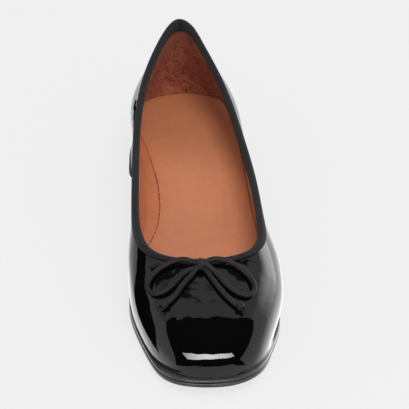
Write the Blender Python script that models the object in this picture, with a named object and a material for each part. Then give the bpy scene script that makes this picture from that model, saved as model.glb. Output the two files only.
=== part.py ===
"""Ballet flat for the left foot: patent upper, bound collar, cord bow, insole, two-layer sole and low heel.

The shoe stands on the floor, +Z up, toe towards -Y, outer (lateral) side towards +X. All sizes are in metres.
Its solids are worked out in (along, across, up): along from the heel, across from the heel's middle line.
"""

import math
from collections import namedtuple

import bmesh
import bpy
import numpy as np

# Length of the outsole, and width of the last at the ball between its two feather edges.
SOLE_LENGTH = 0.252
BALL_WIDTH = 0.0845
# Height of the upper at the back of the heel, from its feather edge to its cut edge.
BACK_HEIGHT = 0.0540
UPPER_WALL = 0.0018
# Above the sole the upper rolls out past its feather edge by this much.
FEATHER_ROLL = 0.0012
FEATHER_ROLL_HEIGHT = 0.0030

OUTSOLE_THICKNESS = 0.0030
OUTSOLE_LIP = 0.0024
MIDSOLE_THICKNESS = 0.0024
MIDSOLE_LIP = 0.0022
SOLE_EDGE_ROUND = 0.0006
INSOLE_THICKNESS = 0.0022

# Clearance between pieces that are cemented or stitched together on the real shoe.
GAP = 0.0003

# The heel raises the seat. The shank runs from the heel breast down to the ball, and the toe springs up.
HEEL_RISE = 0.0140
TOP_LIFT_THICKNESS = 0.0032
HEEL_BREAST = 0.0600
HEEL_FLARE = 0.0060
HEEL_CORNER = 0.0060
SHANK_END = 0.1500
TOE_SPRING_START = 0.2000
TOE_SPRING = 0.0060
TOE_SPRING_POWER = 1.8

# The tape folded over the collar, with a cord filling its crown. Its inner leg is the longer one.
TAPE_THICKNESS = 0.0009
TAPE_LEG = 0.0026
TAPE_INNER_LEG = 0.0050
TAPE_CROWN = 0.0016

# The bow's round cord, its knot and the knots at its two ends. Sizes run across, along and up.
BOW_CORD = 0.0028
BOW_KNOT_SIZE = (0.0064, 0.0070, 0.0064)
BOW_TIP_SIZE = (0.0046, 0.0046, 0.0042)
BOW_TIP_LIFT = 0.0003
BOW_TILT = math.radians(25)
KNOT_LOBES = 3
KNOT_LOBE = 0.07

# How finely the forms are divided. The tape's rows are depths below the cut edge, which the upper's wall shares.
# The wall's other rows are shares of what lies deeper.
STEPS_PER_SECTION = 4
FINE_STEPS = 16
SOLE_STATIONS = 40
FINE_ROWS = 61
TAPE_ROWS = (0.0, TAPE_LEG / 2, TAPE_LEG, TAPE_INNER_LEG)
WALL_ROWS = (0.14, 0.28, 0.42, 0.56, 0.70, 0.83, 0.93, 1.0)
TAPE_CROWN_ANGLES = (15, 55, 90, 125, 165)
CORD_SIDES = 2
CORD_SPACING = 1.6
KNOT_SIDES = 12
KNOT_RINGS = 8
CURVE_STEPS = 20
CORNER_ANGLES = (0, 30, 60, 90)
SHARP_ANGLE = math.radians(35)

Section = namedtuple(
    "Section",
    "name along across lip collar_along collar_across collar_height swell rise reach drop",
)

# One row for each section of the wall, from the heel's back round the outer side to the toe and back along
# the inner side. along: share of the sole's length from the heel. across: share of half the ball width, outer
# side positive. lip: share of the sole's lip that stands out past the upper. collar_height: share of the back
# height, above the feather edge. swell and rise: where the wall heads as it leaves the feather edge, outwards
# and up. reach and drop: how it comes in to the collar, outwards and down. Those four are shares of the
# section's height.
SECTIONS = [
    Section("heel_back", 0.0130, 0.010, 0.40, 0.0175, 0.014, 1.000, 0.08, 0.36, 0.010, 0.40),
    Section("heel_back_outer", 0.0290, 0.345, 0.40, 0.0360, 0.170, 0.974, 0.10, 0.36, 0.060, 0.40),
    Section("heel_outer", 0.0870, 0.630, 0.40, 0.0880, 0.310, 0.892, 0.12, 0.36, 0.150, 0.40),
    Section("seat_outer", 0.1900, 0.755, 0.35, 0.1900, 0.522, 0.745, 0.10, 0.38, 0.130, 0.40),
    Section("waist_outer_rear", 0.3170, 0.795, 0.30, 0.3100, 0.672, 0.640, 0.04, 0.38, 0.030, 0.40),
    Section("waist_outer", 0.4440, 0.840, 0.25, 0.4290, 0.775, 0.648, 0.02, 0.38, 0.010, 0.40),
    Section("waist_outer_front", 0.5560, 0.905, 0.15, 0.5280, 0.820, 0.690, 0.06, 0.38, 0.050, 0.40),
    Section("ball_outer", 0.6670, 0.970, 0.05, 0.6190, 0.825, 0.704, 0.12, 0.40, 0.180, 0.36),
    Section("ball_outer_front", 0.7540, 0.990, 0.05, 0.6790, 0.790, 0.690, 0.10, 0.42, 0.320, 0.30),
    Section("toe_outer_rear", 0.8180, 0.932, 0.10, 0.7170, 0.665, 0.690, 0.08, 0.46, 0.500, 0.26),
    Section("toe_outer", 0.8810, 0.776, 0.40, 0.7380, 0.480, 0.702, 0.05, 0.50, 0.680, 0.24),
    Section("toe_corner_outer", 0.9420, 0.560, 0.95, 0.7500, 0.290, 0.716, 0.03, 0.52, 0.800, 0.22),
    Section("toe_front_outer", 0.9815, 0.280, 1.00, 0.7560, 0.138, 0.726, 0.02, 0.54, 0.860, 0.22),
    Section("toe_front", 0.9895, 0.010, 1.00, 0.7570, 0.000, 0.730, 0.01, 0.54, 0.880, 0.22),
    Section("toe_front_inner", 0.9825, -0.265, 1.00, 0.7550, -0.142, 0.728, 0.02, 0.54, 0.860, 0.22),
    Section("toe_corner_inner", 0.9520, -0.535, 1.00, 0.7480, -0.285, 0.720, 0.03, 0.52, 0.800, 0.22),
    Section("toe_inner", 0.8970, -0.735, 0.55, 0.7330, -0.490, 0.708, 0.05, 0.50, 0.660, 0.24),
    Section("toe_inner_rear", 0.8210, -0.865, 0.30, 0.7060, -0.705, 0.702, 0.06, 0.46, 0.420, 0.26),
    Section("ball_inner_front", 0.7540, -0.942, 0.30, 0.6620, -0.826, 0.708, 0.04, 0.42, 0.230, 0.30),
    Section("ball_inner", 0.6750, -0.952, 0.30, 0.6030, -0.866, 0.728, 0.02, 0.40, 0.110, 0.36),
    Section("waist_inner_front", 0.5560, -0.805, 0.30, 0.5280, -0.845, 0.745, 0.14, 0.30, 0.020, 0.40),
    Section("waist_inner", 0.4440, -0.580, 0.30, 0.4370, -0.800, 0.712, 0.28, 0.26, 0.010, 0.40),
    Section("waist_inner_rear", 0.3370, -0.560, 0.30, 0.3330, -0.738, 0.684, 0.26, 0.28, 0.010, 0.40),
    Section("seat_inner_front", 0.2400, -0.625, 0.35, 0.2500, -0.655, 0.725, 0.20, 0.32, 0.020, 0.40),
    Section("seat_inner", 0.1560, -0.662, 0.40, 0.1700, -0.530, 0.805, 0.14, 0.36, 0.080, 0.40),
    Section("heel_inner", 0.0870, -0.600, 0.40, 0.0910, -0.328, 0.910, 0.13, 0.36, 0.120, 0.40),
    Section("heel_back_inner", 0.0310, -0.350, 0.40, 0.0380, -0.142, 0.978, 0.10, 0.36, 0.060, 0.40),
]

# The bow's cords, as (along, across, up): shares of the sole's length, of half the ball width, and of the
# back height above the feather edge. They run from the knot at the throat and lie on the vamp.
BOW_KNOT = (0.7785, -0.074, 0.780)
BOW_LOOP_INNER = [
    (0.7698, -0.140, 0.777),
    (0.7589, -0.265, 0.778),
    (0.7560, -0.384, 0.760),
    (0.7580, -0.514, 0.718),
    (0.7667, -0.648, 0.671),
    (0.7807, -0.744, 0.622),
    (0.7962, -0.781, 0.589),
    (0.8124, -0.753, 0.575),
    (0.8227, -0.674, 0.589),
    (0.8235, -0.565, 0.623),
    (0.8130, -0.451, 0.662),
    (0.7983, -0.354, 0.698),
    (0.7875, -0.274, 0.722),
    (0.7805, -0.198, 0.738),
]
BOW_END_INNER = [
    (0.7860, -0.128, 0.739),
    (0.7968, -0.200, 0.715),
    (0.8097, -0.279, 0.692),
    (0.8231, -0.351, 0.663),
    (0.8378, -0.419, 0.630),
    (0.8487, -0.497, 0.595),
    (0.8544, -0.559, 0.569),
]
BOW_LOOP_OUTER = [
    (0.7704, 0.003, 0.778),
    (0.7650, 0.090, 0.784),
    (0.7636, 0.190, 0.776),
    (0.7664, 0.299, 0.752),
    (0.7751, 0.415, 0.713),
    (0.7890, 0.516, 0.677),
    (0.8050, 0.591, 0.638),
    (0.8223, 0.617, 0.607),
    (0.8376, 0.587, 0.588),
    (0.8471, 0.503, 0.594),
    (0.8448, 0.395, 0.621),
    (0.8359, 0.311, 0.648),
    (0.8227, 0.231, 0.676),
    (0.8058, 0.164, 0.705),
    (0.7902, 0.113, 0.729),
    (0.7845, 0.066, 0.744),
]
BOW_END_OUTER = [
    (0.7873, -0.009, 0.736),
    (0.8014, 0.038, 0.716),
    (0.8151, 0.082, 0.696),
    (0.8329, 0.144, 0.666),
    (0.8526, 0.222, 0.629),
    (0.8680, 0.305, 0.591),
    (0.8766, 0.369, 0.565),
]


def clear_scene():
    """Removes the objects of the scene that Blender opens with."""
    for item in list(bpy.data.objects):
        bpy.data.objects.remove(item)


def eased(share):
    """A smooth step from 0 to 1."""
    share = np.clip(share, 0.0, 1.0)
    return share * share * (3.0 - 2.0 * share)


def sole_lift(along):
    """Height of the outsole's underside above the floor at a distance from the heel."""
    along = np.asarray(along, float)
    shank = HEEL_RISE * (1.0 - eased((along - HEEL_BREAST) / (SHANK_END - HEEL_BREAST)))
    past = np.clip((along - TOE_SPRING_START) / (SOLE_LENGTH - TOE_SPRING_START), 0.0, None)
    return shank + TOE_SPRING * past**TOE_SPRING_POWER


def midsole_bottom(along):
    """Height of the midsole's underside, which lies on the outsole."""
    return sole_lift(along) + OUTSOLE_THICKNESS + GAP


def midsole_top(along):
    """Height of the ledge that the upper and the insole rest on."""
    return midsole_bottom(along) + MIDSOLE_THICKNESS


def feather_height(along):
    """Height of the upper's feather edge, which rests on the midsole."""
    return midsole_top(along) + GAP


def ring_through(rows, steps):
    """A closed cubic spline through the rows, with as many points as rows times steps."""
    rows = np.asarray(rows, float)
    count = len(rows)
    matrix = 4.0 * np.eye(count) + np.roll(np.eye(count), 1, 1) + np.roll(np.eye(count), -1, 1)
    slopes = np.linalg.solve(matrix, 3.0 * (np.roll(rows, -1, 0) - np.roll(rows, 1, 0)))
    share = (np.arange(steps) / steps)[None, :, None]
    start, end = rows[:, None], np.roll(rows, -1, 0)[:, None]
    leave, arrive = slopes[:, None], np.roll(slopes, -1, 0)[:, None]
    points = (
        (2 * share**3 - 3 * share**2 + 1) * start
        + (share**3 - 2 * share**2 + share) * leave
        + (3 * share**2 - 2 * share**3) * end
        + (share**3 - share**2) * arrive
    )
    return points.reshape(count * steps, -1)


def outward(plan):
    """Unit normals of a closed plan outline, pointing out."""
    tangent = np.roll(plan, -1, 0) - np.roll(plan, 1, 0)
    normal = np.stack([-tangent[:, 1], tangent[:, 0]], 1)
    normal /= np.linalg.norm(normal, axis=1, keepdims=True)
    centre = plan.mean(0)
    return normal * np.sign(((plan - centre) * normal).sum())


def wall_sections(steps):
    """The numbers of every section round the shoe, as arrays of real sizes."""
    rows = ring_through([row[1:] for row in SECTIONS], steps)
    ring = Section("ring", *rows.T)
    half = BALL_WIDTH / 2
    feather = np.stack([ring.along * SOLE_LENGTH, ring.across * half], 1)
    collar = np.stack([ring.collar_along * SOLE_LENGTH, ring.collar_across * half], 1)
    return ring, feather, collar


def wall_surface(steps):
    """The upper's outer face as fine rings from the collar down to the feather edge, with its normals."""
    ring, feather, collar = wall_sections(steps)
    low = feather_height(feather[:, 0])
    high = feather_height(collar[:, 0]) + ring.collar_height * BACK_HEIGHT
    tall = high - low
    out = outward(feather)
    start = np.column_stack([feather + out * FEATHER_ROLL, low])
    end = np.column_stack([collar, high])
    leave = start + np.column_stack([out * (ring.swell * tall)[:, None], ring.rise * tall])
    arrive = end + np.column_stack([out * (ring.reach * tall)[:, None], -ring.drop * tall])
    share = np.linspace(1.0, 0.0, FINE_ROWS)[:, None, None]
    surface = (
        (1 - share) ** 3 * start
        + 3 * (1 - share) ** 2 * share * leave
        + 3 * (1 - share) * share**2 * arrive
        + share**3 * end
    )
    above = np.clip((surface[:, :, 2] - low) / FEATHER_ROLL_HEIGHT, 0.0, 1.0)
    tuck = FEATHER_ROLL * (1.0 - np.sqrt(1.0 - (1.0 - above) ** 2))
    surface[:, :, :2] -= out * tuck[:, :, None]
    normal = np.cross(np.gradient(surface, axis=0), np.roll(surface, -1, 1) - np.roll(surface, 1, 1))
    normal /= np.linalg.norm(normal, axis=2, keepdims=True)
    middle = FINE_ROWS // 2
    normal *= np.sign((normal[middle, :, :2] * out).sum())
    return surface, normal


def rings_at(surface, normal, depths, shares):
    """Rings of the wall and its normals: at depths below the collar, then at shares of what lies deeper."""
    steps = np.linalg.norm(np.diff(surface, axis=0), axis=2)
    depth = np.vstack([np.zeros(surface.shape[1]), np.cumsum(steps, axis=0)])
    rest = depth[-1] - depths[-1]
    wanted = [amount + 0 * rest for amount in depths] + [depths[-1] + share * rest for share in shares]
    both = np.concatenate([surface, normal], axis=2)
    rings = np.empty((len(wanted), *both.shape[1:]))
    for column in range(both.shape[1]):
        places = [ring[column] for ring in wanted]
        for axis in range(6):
            rings[:, column, axis] = np.interp(places, depth[:, column], both[:, column, axis])
    rings[:, :, 3:] /= np.linalg.norm(rings[:, :, 3:], axis=2, keepdims=True)
    return rings[:, :, :3], rings[:, :, 3:]


def to_frame(points):
    """From (along, across, up) to X, Y and Z, before the shoe is centred."""
    points = np.asarray(points, float)
    return np.stack([points[..., 1], -points[..., 0], points[..., 2]], -1)


def make_shoe_frame(surface, plan, lip):
    """The empty that carries every piece and puts the origin under the middle of the shoe."""
    sole = plan + outward(plan) * (lip * OUTSOLE_LIP)[:, None]
    spread = np.concatenate([surface[:, :, :2].reshape(-1, 2), sole])
    along, across = (spread.min(0) + spread.max(0)) / 2
    frame = bpy.data.objects.new("shoe_frame", None)
    frame.location = (-across, along, 0.0)
    bpy.context.scene.collection.objects.link(frame)
    return frame


def plain_material(name, colour, roughness, metallic=0.0):
    """A Principled BSDF material of one colour."""
    made = bpy.data.materials.new(name)
    made.use_nodes = True
    shader = made.node_tree.nodes["Principled BSDF"]
    shader.inputs["Base Color"].default_value = (*colour, 1.0)
    shader.inputs["Roughness"].default_value = roughness
    shader.inputs["Metallic"].default_value = metallic
    return made


def add_object(name, points, faces, material):
    """A closed mesh object with its faces turned outwards, from points in (along, across, up)."""
    mesh = bpy.data.meshes.new(name)
    mesh.from_pydata([tuple(point) for point in to_frame(points)], [], faces)
    made = bpy.data.objects.new(name, mesh)
    bpy.context.scene.collection.objects.link(made)
    shape = bmesh.new()
    shape.from_mesh(mesh)
    bmesh.ops.recalc_face_normals(shape, faces=shape.faces)
    shape.to_mesh(mesh)
    shape.free()
    mesh.materials.append(material)
    mesh.shade_smooth()
    mesh.set_sharp_from_angle(angle=SHARP_ANGLE)
    return made


def band_faces(first, second, count):
    """Quads between two closed rings that start at these vertex numbers."""
    return [
        (first + i, first + (i + 1) % count, second + (i + 1) % count, second + i)
        for i in range(count)
    ]


def loop_solid(name, rings, material):
    """A solid ring whose cross-section runs through closed rings in order and back to the first."""
    count = len(rings[0])
    faces = []
    for i in range(len(rings)):
        faces += band_faces(i * count, (i + 1) % len(rings) * count, count)
    return add_object(name, np.concatenate(rings), faces, material)


def level_outline():
    """The feather line as pairs of points level with each other across the shoe, and the sole's lip at each.

    The ring starts at the back and runs down the outer side to the toe, then back along the inner side.
    """
    ring, plan, _ = wall_sections(FINE_STEPS)
    line = np.column_stack([plan, ring.lip])
    line = np.roll(line, -np.argmin(line[:, 0]), axis=0)
    toe = np.argmax(line[:, 0])
    outer, inner = line[: toe + 1], np.concatenate([line[toe:], line[:1]])[::-1]
    turn = np.linspace(0.0, math.pi, SOLE_STATIONS + 1)
    stations = line[0, 0] + (line[toe, 0] - line[0, 0]) * (1 - np.cos(turn)) / 2
    sides = [
        np.column_stack([stations] + [np.interp(stations, side[:, 0], side[:, k]) for k in (1, 2)])
        for side in (outer, inner)
    ]
    ring = np.concatenate([sides[0], sides[1][-2:0:-1]])
    return ring[:, :2], ring[:, 2]


def ladder_faces(start, count, flip):
    """Closes a ring with faces that run straight across the shoe, from the heel to the toe."""
    faces = []
    for i in range(count // 2):
        corners = [i, i + 1]
        if i + 1 != count - i - 1:
            corners.append(count - i - 1)
        if i:
            corners.append(count - i)
        corners = [start + k for k in corners]
        faces.append(tuple(reversed(corners)) if flip else tuple(corners))
    return faces


def slab_solid(name, rings, material):
    """A solid with a flat run across it: closed rings from the bottom up, capped at both ends."""
    count = len(rings[0])
    faces = []
    for i in range(len(rings) - 1):
        faces += band_faces(i * count, (i + 1) * count, count)
    faces += ladder_faces(0, count, True)
    faces += ladder_faces((len(rings) - 1) * count, count, False)
    return add_object(name, np.concatenate(rings), faces, material)


def outline_ring(plan, grow, height):
    """A ring on the plan outline, moved out by grow, at the height that a function of the distance gives."""
    moved = plan + outward(plan) * np.reshape(grow, (-1, 1))
    return np.column_stack([moved, height(moved[:, 0])])


def sole_layer(name, plan, lip, bottom, top, material):
    """One layer of the sole, with softened top and bottom edges."""
    soft = SOLE_EDGE_ROUND
    rings = [
        outline_ring(plan, lip - soft, bottom),
        outline_ring(plan, lip, lambda along: bottom(along) + soft),
        outline_ring(plan, lip, lambda along: top(along) - soft),
        outline_ring(plan, lip - soft, top),
    ]
    return slab_solid(name, rings, material)


def outsole_top(along):
    """Height of the outsole's upper face."""
    return sole_lift(along) + OUTSOLE_THICKNESS


def make_sole(plan, lip, rubber, edge):
    """The outsole with its arch and toe spring, and the edged midsole on top of it."""
    sole_layer("outsole", plan, lip * OUTSOLE_LIP, sole_lift, outsole_top, rubber)
    sole_layer("midsole", plan, lip * MIDSOLE_LIP, midsole_bottom, midsole_top, edge)


def heel_side(side, spread):
    """One side of the heel from its back to the start of its breast corner.

    spread is 0 under the seat, where the heel follows the sole, and 1 at the floor, where it runs on
    without the waist's hollow and flares out.
    """
    side = side[side[:, 0] < HEEL_BREAST - HEEL_CORNER]
    reach = np.abs(side[:, 1])
    wide = np.maximum.accumulate(reach) + HEEL_FLARE * side[:, 0] / HEEL_BREAST
    across = (1 - spread) * reach + spread * wide
    return np.column_stack([side[:, 0], across * np.sign(side[:, 1])])


def breast_corner(side):
    """A quarter round from the side of the heel to its breast."""
    edge = side[-1][1]
    angles = np.radians(CORNER_ANGLES)
    along = HEEL_BREAST - HEEL_CORNER * (1 - np.sin(angles))
    across = edge - np.sign(edge) * HEEL_CORNER * (1 - np.cos(angles))
    return np.column_stack([along, across])


def heel_outline(plan, spread):
    """The heel's plan: the back of the sole's outline, closed by a straight breast with rounded corners."""
    half = len(plan) // 2
    outer = heel_side(plan[1:half], spread)
    inner = heel_side(plan[:half:-1], spread)
    back = plan[:1]
    return np.concatenate([inner[::-1], back, outer, breast_corner(outer), breast_corner(inner)[::-1]])


def heel_solid(name, plan, levels, material):
    """A part of the heel between levels of (height, spread)."""
    rings, faces = [], []
    for height, spread in levels:
        outline = heel_outline(plan, spread)
        rings.append(np.column_stack([outline, np.full(len(outline), height)]))
    count = len(rings[0])
    for i in range(len(rings) - 1):
        faces += band_faces(i * count, (i + 1) * count, count)
    faces.append(tuple(range(count)))
    faces.append(tuple((len(rings) - 1) * count + i for i in range(count)))
    return add_object(name, np.concatenate(rings), faces, material)


def make_heel(plan, lip, block_material, lift_material):
    """The low heel block and the top lift that it stands on."""
    seat = plan + outward(plan) * (lip * OUTSOLE_LIP - SOLE_EDGE_ROUND)[:, None]
    top = HEEL_RISE - GAP

    def spread(height):
        return 1 - height / HEEL_RISE

    levels = [(0.0, 1.0), (TOP_LIFT_THICKNESS, spread(TOP_LIFT_THICKNESS))]
    heel_solid("top_lift", seat, levels, lift_material)
    bottom = TOP_LIFT_THICKNESS + GAP
    heel_solid("heel_block", seat, [(bottom, spread(bottom)), (top, spread(top))], block_material)


def make_insole(plan, material):
    """The sock that covers the foot bed inside the upper."""
    inset = -(UPPER_WALL + GAP)

    def top(along):
        return feather_height(along) + INSOLE_THICKNESS

    rings = [outline_ring(plan, inset, feather_height), outline_ring(plan, inset, top)]
    return slab_solid("insole", rings, material)


def make_upper(surface, normal, material):
    """The one-piece upper, open at the collar and underneath, with a wall of even thickness."""
    outside, facing = rings_at(surface, normal, TAPE_ROWS, WALL_ROWS)
    inside = outside - facing * UPPER_WALL
    inside[-1, :, 2] = outside[-1, :, 2]
    return loop_solid("upper", list(outside) + list(inside[::-1]), material)


def make_binding(surface, normal, material):
    """The collar tape: a folded band that straddles the upper's cut edge all the way round."""
    legs, facing = rings_at(surface, normal, TAPE_ROWS, [])
    edge, across = legs[0], facing[0]
    rise = edge - legs[1]
    rise /= np.linalg.norm(rise, axis=1, keepdims=True)
    outer, inner = GAP, -UPPER_WALL - GAP
    middle, half = (outer + inner) / 2, (outer - inner) / 2

    def leg(row, aside):
        return legs[row] + facing[row] * aside

    rings = [leg(2, outer + TAPE_THICKNESS), leg(1, outer + TAPE_THICKNESS)]
    rings += [
        edge
        + across * (middle + (half + TAPE_THICKNESS) * math.cos(angle))
        + rise * (GAP + TAPE_CROWN * math.sin(angle))
        for angle in np.radians(TAPE_CROWN_ANGLES)
    ]
    rings += [leg(row, inner - TAPE_THICKNESS) for row in (1, 2, 3)]
    rings += [leg(row, inner) for row in (3, 2, 1)]
    rings += [edge + across * inner + rise * GAP, edge + across * outer + rise * GAP]
    rings += [leg(1, outer), leg(2, outer)]
    return loop_solid("binding", rings, material)


def smooth_route(points, spacing):
    """A Catmull-Rom curve through the route's points, with points at about this spacing."""
    points = np.asarray(points, float)
    padded = np.vstack([2 * points[0] - points[1], points, 2 * points[-1] - points[-2]])
    fine = []
    for before, start, end, after in zip(padded, padded[1:], padded[2:], padded[3:]):
        for share in np.arange(CURVE_STEPS) / CURVE_STEPS:
            fine.append(
                0.5
                * (
                    2 * start
                    + (end - before) * share
                    + (2 * before - 5 * start + 4 * end - after) * share**2
                    + (3 * start - before - 3 * end + after) * share**3
                )
            )
    fine.append(points[-1])
    fine = np.array(fine)
    length = np.concatenate([[0.0], np.cumsum(np.linalg.norm(np.diff(fine, axis=0), axis=1))])
    count = max(2, round(length[-1] / spacing) + 1)
    wanted = np.linspace(0.0, length[-1], count)
    return np.stack([np.interp(wanted, length, fine[:, k]) for k in range(3)], 1)


def bow_places(shares):
    """Places of the bow's table in (along, across, up)."""
    along, across, up = np.array(shares, float).reshape(-1, 3).T
    along = along * SOLE_LENGTH
    return np.column_stack([along, across * BALL_WIDTH / 2, feather_height(along) + up * BACK_HEIGHT])


def make_cord(name, places, material):
    """A round cord through these places, as a bevelled curve with filled ends."""
    points = to_frame(smooth_route(places, BOW_CORD * CORD_SPACING))
    data = bpy.data.curves.new(name, "CURVE")
    data.dimensions = "3D"
    data.bevel_depth = BOW_CORD / 2
    data.bevel_resolution = CORD_SIDES
    data.use_fill_caps = True
    line = data.splines.new("POLY")
    line.points.add(len(points) - 1)
    for point, place in zip(line.points, points):
        point.co = (*place, 1.0)
    made = bpy.data.objects.new(name, data)
    bpy.context.scene.collection.objects.link(made)
    data.materials.append(material)
    return made


def make_knot(name, place, size, tilt, material):
    """A knot of cord: a ball with shallow lobes round it, tipped forward with the vamp."""
    mesh = bpy.data.meshes.new(name)
    shape = bmesh.new()
    bmesh.ops.create_uvsphere(shape, u_segments=KNOT_SIDES, v_segments=KNOT_RINGS, radius=0.5)
    for vertex in shape.verts:
        angle = math.atan2(vertex.co.z, vertex.co.x)
        vertex.co *= 1.0 + KNOT_LOBE * math.cos(KNOT_LOBES * angle)
        for axis in range(3):
            vertex.co[axis] *= size[axis]
    shape.to_mesh(mesh)
    shape.free()
    made = bpy.data.objects.new(name, mesh)
    made.location = to_frame(place)
    made.rotation_euler = (tilt, 0.0, 0.0)
    bpy.context.scene.collection.objects.link(made)
    mesh.materials.append(material)
    mesh.shade_smooth()
    return made


def make_bow(material):
    """The bow: two loops and two knotted ends that leave the knot at the throat."""
    make_knot("bow_knot", bow_places(BOW_KNOT)[0], BOW_KNOT_SIZE, BOW_TILT, material)
    sides = [("outer", BOW_LOOP_OUTER, BOW_END_OUTER), ("inner", BOW_LOOP_INNER, BOW_END_INNER)]
    for side, loop, end in sides:
        make_cord(f"bow_loop_{side}", bow_places(loop), material)
        tail = bow_places(end)
        make_cord(f"bow_end_{side}", tail, material)
        beyond = (tail[-1] - tail[-2]) / np.linalg.norm(tail[-1] - tail[-2])
        tip = tail[-1] + beyond * (BOW_TIP_SIZE[0] / 2 + GAP) + (0.0, 0.0, BOW_TIP_LIFT)
        make_knot(f"bow_tip_{side}", tip, BOW_TIP_SIZE, 0.0, material)


def build():
    """Makes every piece of the shoe."""
    clear_scene()
    patent = plain_material("patent_leather", (0.010, 0.010, 0.011), 0.06)
    tape = plain_material("grosgrain_tape", (0.030, 0.030, 0.032), 0.75)
    cord = plain_material("bow_cord", (0.022, 0.022, 0.022), 0.70)
    tan = plain_material("tan_leather", (0.480, 0.190, 0.095), 0.50)
    edge = plain_material("sole_edge", (0.014, 0.014, 0.015), 0.22)
    rubber = plain_material("outsole_rubber", (0.020, 0.020, 0.021), 0.55)
    heel = plain_material("heel_lacquer", (0.010, 0.010, 0.011), 0.12)

    surface, normal = wall_surface(STEPS_PER_SECTION)
    plan, lip = level_outline()
    make_upper(surface, normal, patent)
    make_binding(surface, normal, tape)
    make_insole(plan, tan)
    make_sole(plan, lip, rubber, edge)
    make_heel(plan, lip, heel, rubber)
    make_bow(cord)
    pieces = list(bpy.data.objects)
    frame = make_shoe_frame(surface, plan, lip)
    for piece in pieces:
        piece.parent = frame


build()
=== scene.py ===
import math
from collections import namedtuple

import bmesh
import bpy
import numpy as np
from bpy.props import FloatProperty, FloatVectorProperty, PointerProperty
from bpy.types import Operator, Panel, PropertyGroup
from mathutils import Matrix, Vector


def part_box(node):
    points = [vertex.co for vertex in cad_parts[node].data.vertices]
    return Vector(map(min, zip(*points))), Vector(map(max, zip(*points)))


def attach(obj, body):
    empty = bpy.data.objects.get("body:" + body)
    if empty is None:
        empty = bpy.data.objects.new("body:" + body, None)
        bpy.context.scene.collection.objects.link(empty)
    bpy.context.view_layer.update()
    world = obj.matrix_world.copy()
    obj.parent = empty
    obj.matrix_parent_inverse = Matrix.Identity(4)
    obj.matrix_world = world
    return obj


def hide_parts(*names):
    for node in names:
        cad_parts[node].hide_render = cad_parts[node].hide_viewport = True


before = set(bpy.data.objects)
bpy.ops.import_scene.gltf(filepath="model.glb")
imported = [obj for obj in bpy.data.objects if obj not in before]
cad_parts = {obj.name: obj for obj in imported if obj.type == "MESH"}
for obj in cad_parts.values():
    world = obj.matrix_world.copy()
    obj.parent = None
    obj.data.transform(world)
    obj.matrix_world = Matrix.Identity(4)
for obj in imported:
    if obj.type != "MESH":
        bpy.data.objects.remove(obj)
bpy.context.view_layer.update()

bl_info = {
    "name": "Ballet flat",
    "version": (1, 0, 0),
    "blender": (4, 5, 0),
    "location": "View3D > Sidebar > Ballet flat",
    "description": "Dresses the solids of a ballet flat with patent leather, tape, cord bow, sock and sole",
    "category": "Object",
}

# Sizes of the last and the sole, in metres. Along runs from the back of the sole towards the toe.
SOLE_LENGTH = 0.252
BALL_WIDTH = 0.0845
BACK_HEIGHT = 0.0540
WALL = 0.0018
FEATHER_ROLL = 0.0012
OUTSOLE_THICKNESS = 0.0030
OUTSOLE_LIP = 0.0024
MIDSOLE_THICKNESS = 0.0024
MIDSOLE_LIP = 0.0022
INSOLE_THICKNESS = 0.0022
GAP = 0.0003
HEEL_RISE = 0.0140
TOP_LIFT_THICKNESS = 0.0032
HEEL_BREAST = 0.0600
HEEL_FLARE = 0.0060
HEEL_CORNER = 0.0060
SHANK_END = 0.1500
TOE_SPRING_START = 0.2000
TOE_SPRING = 0.0060
TOE_SPRING_POWER = 1.8

# The wall's foot spreads within FOOT_HEIGHT. The sole layers' edges are rounded by EDGE_SOFT, and the round
# of the ledge at the toe is up to LEDGE_CROWN times wider than high. The heel stands inside the outsole's
# edge by HEEL_EDGE_ROUND, and its own edges are bevelled by HEEL_SOFT.
FOOT_HEIGHT = 0.0022
EDGE_SOFT = 0.0010
LEDGE_CROWN = 3.2
HEEL_EDGE_ROUND = 0.0006
HEEL_SOFT = 0.0005

# How finely the visible surfaces are divided: steps from section to section and up the wall, stations along
# the sole, rows of the shell above its foot and in it, rows of the linings, steps of a tape leg and its
# crown, steps of a rounded edge and of the heel's corners, rings and sides of a stitch, points of a strand
# from one row of its route to the next, and points of a full winding. ROLL_SHARE: how far up the shell the
# foot's rows reach, as a share of the foot's height. TEXTURE_STEP: the texture's step between a slab's rings.
STEPS = 16
FINE_ROWS = 241
SOLE_STATIONS = 150
SHELL_ROWS = 44
ROLL_ROWS = 12
ROLL_SHARE = 1.2
LINING_ROWS = 30
LEG_STEPS = 7
CROWN_STEPS = 19
EDGE_TURNS = 6
CORNER_TURNS = 9
STITCH_ROWS = 7
STITCH_SIDES = 8
ROUTE_STEPS = 24
WINDING_STEPS = 40
TEXTURE_STEP = 0.001

# Angles, in degrees, past which an edge of a mesh stays sharp.
SHARP_SHELL = 60
SHARP_EDGE = 50

Section = namedtuple(
    "Section",
    "name along across lip collar_along collar_across collar_height swell rise reach drop",
)

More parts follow.
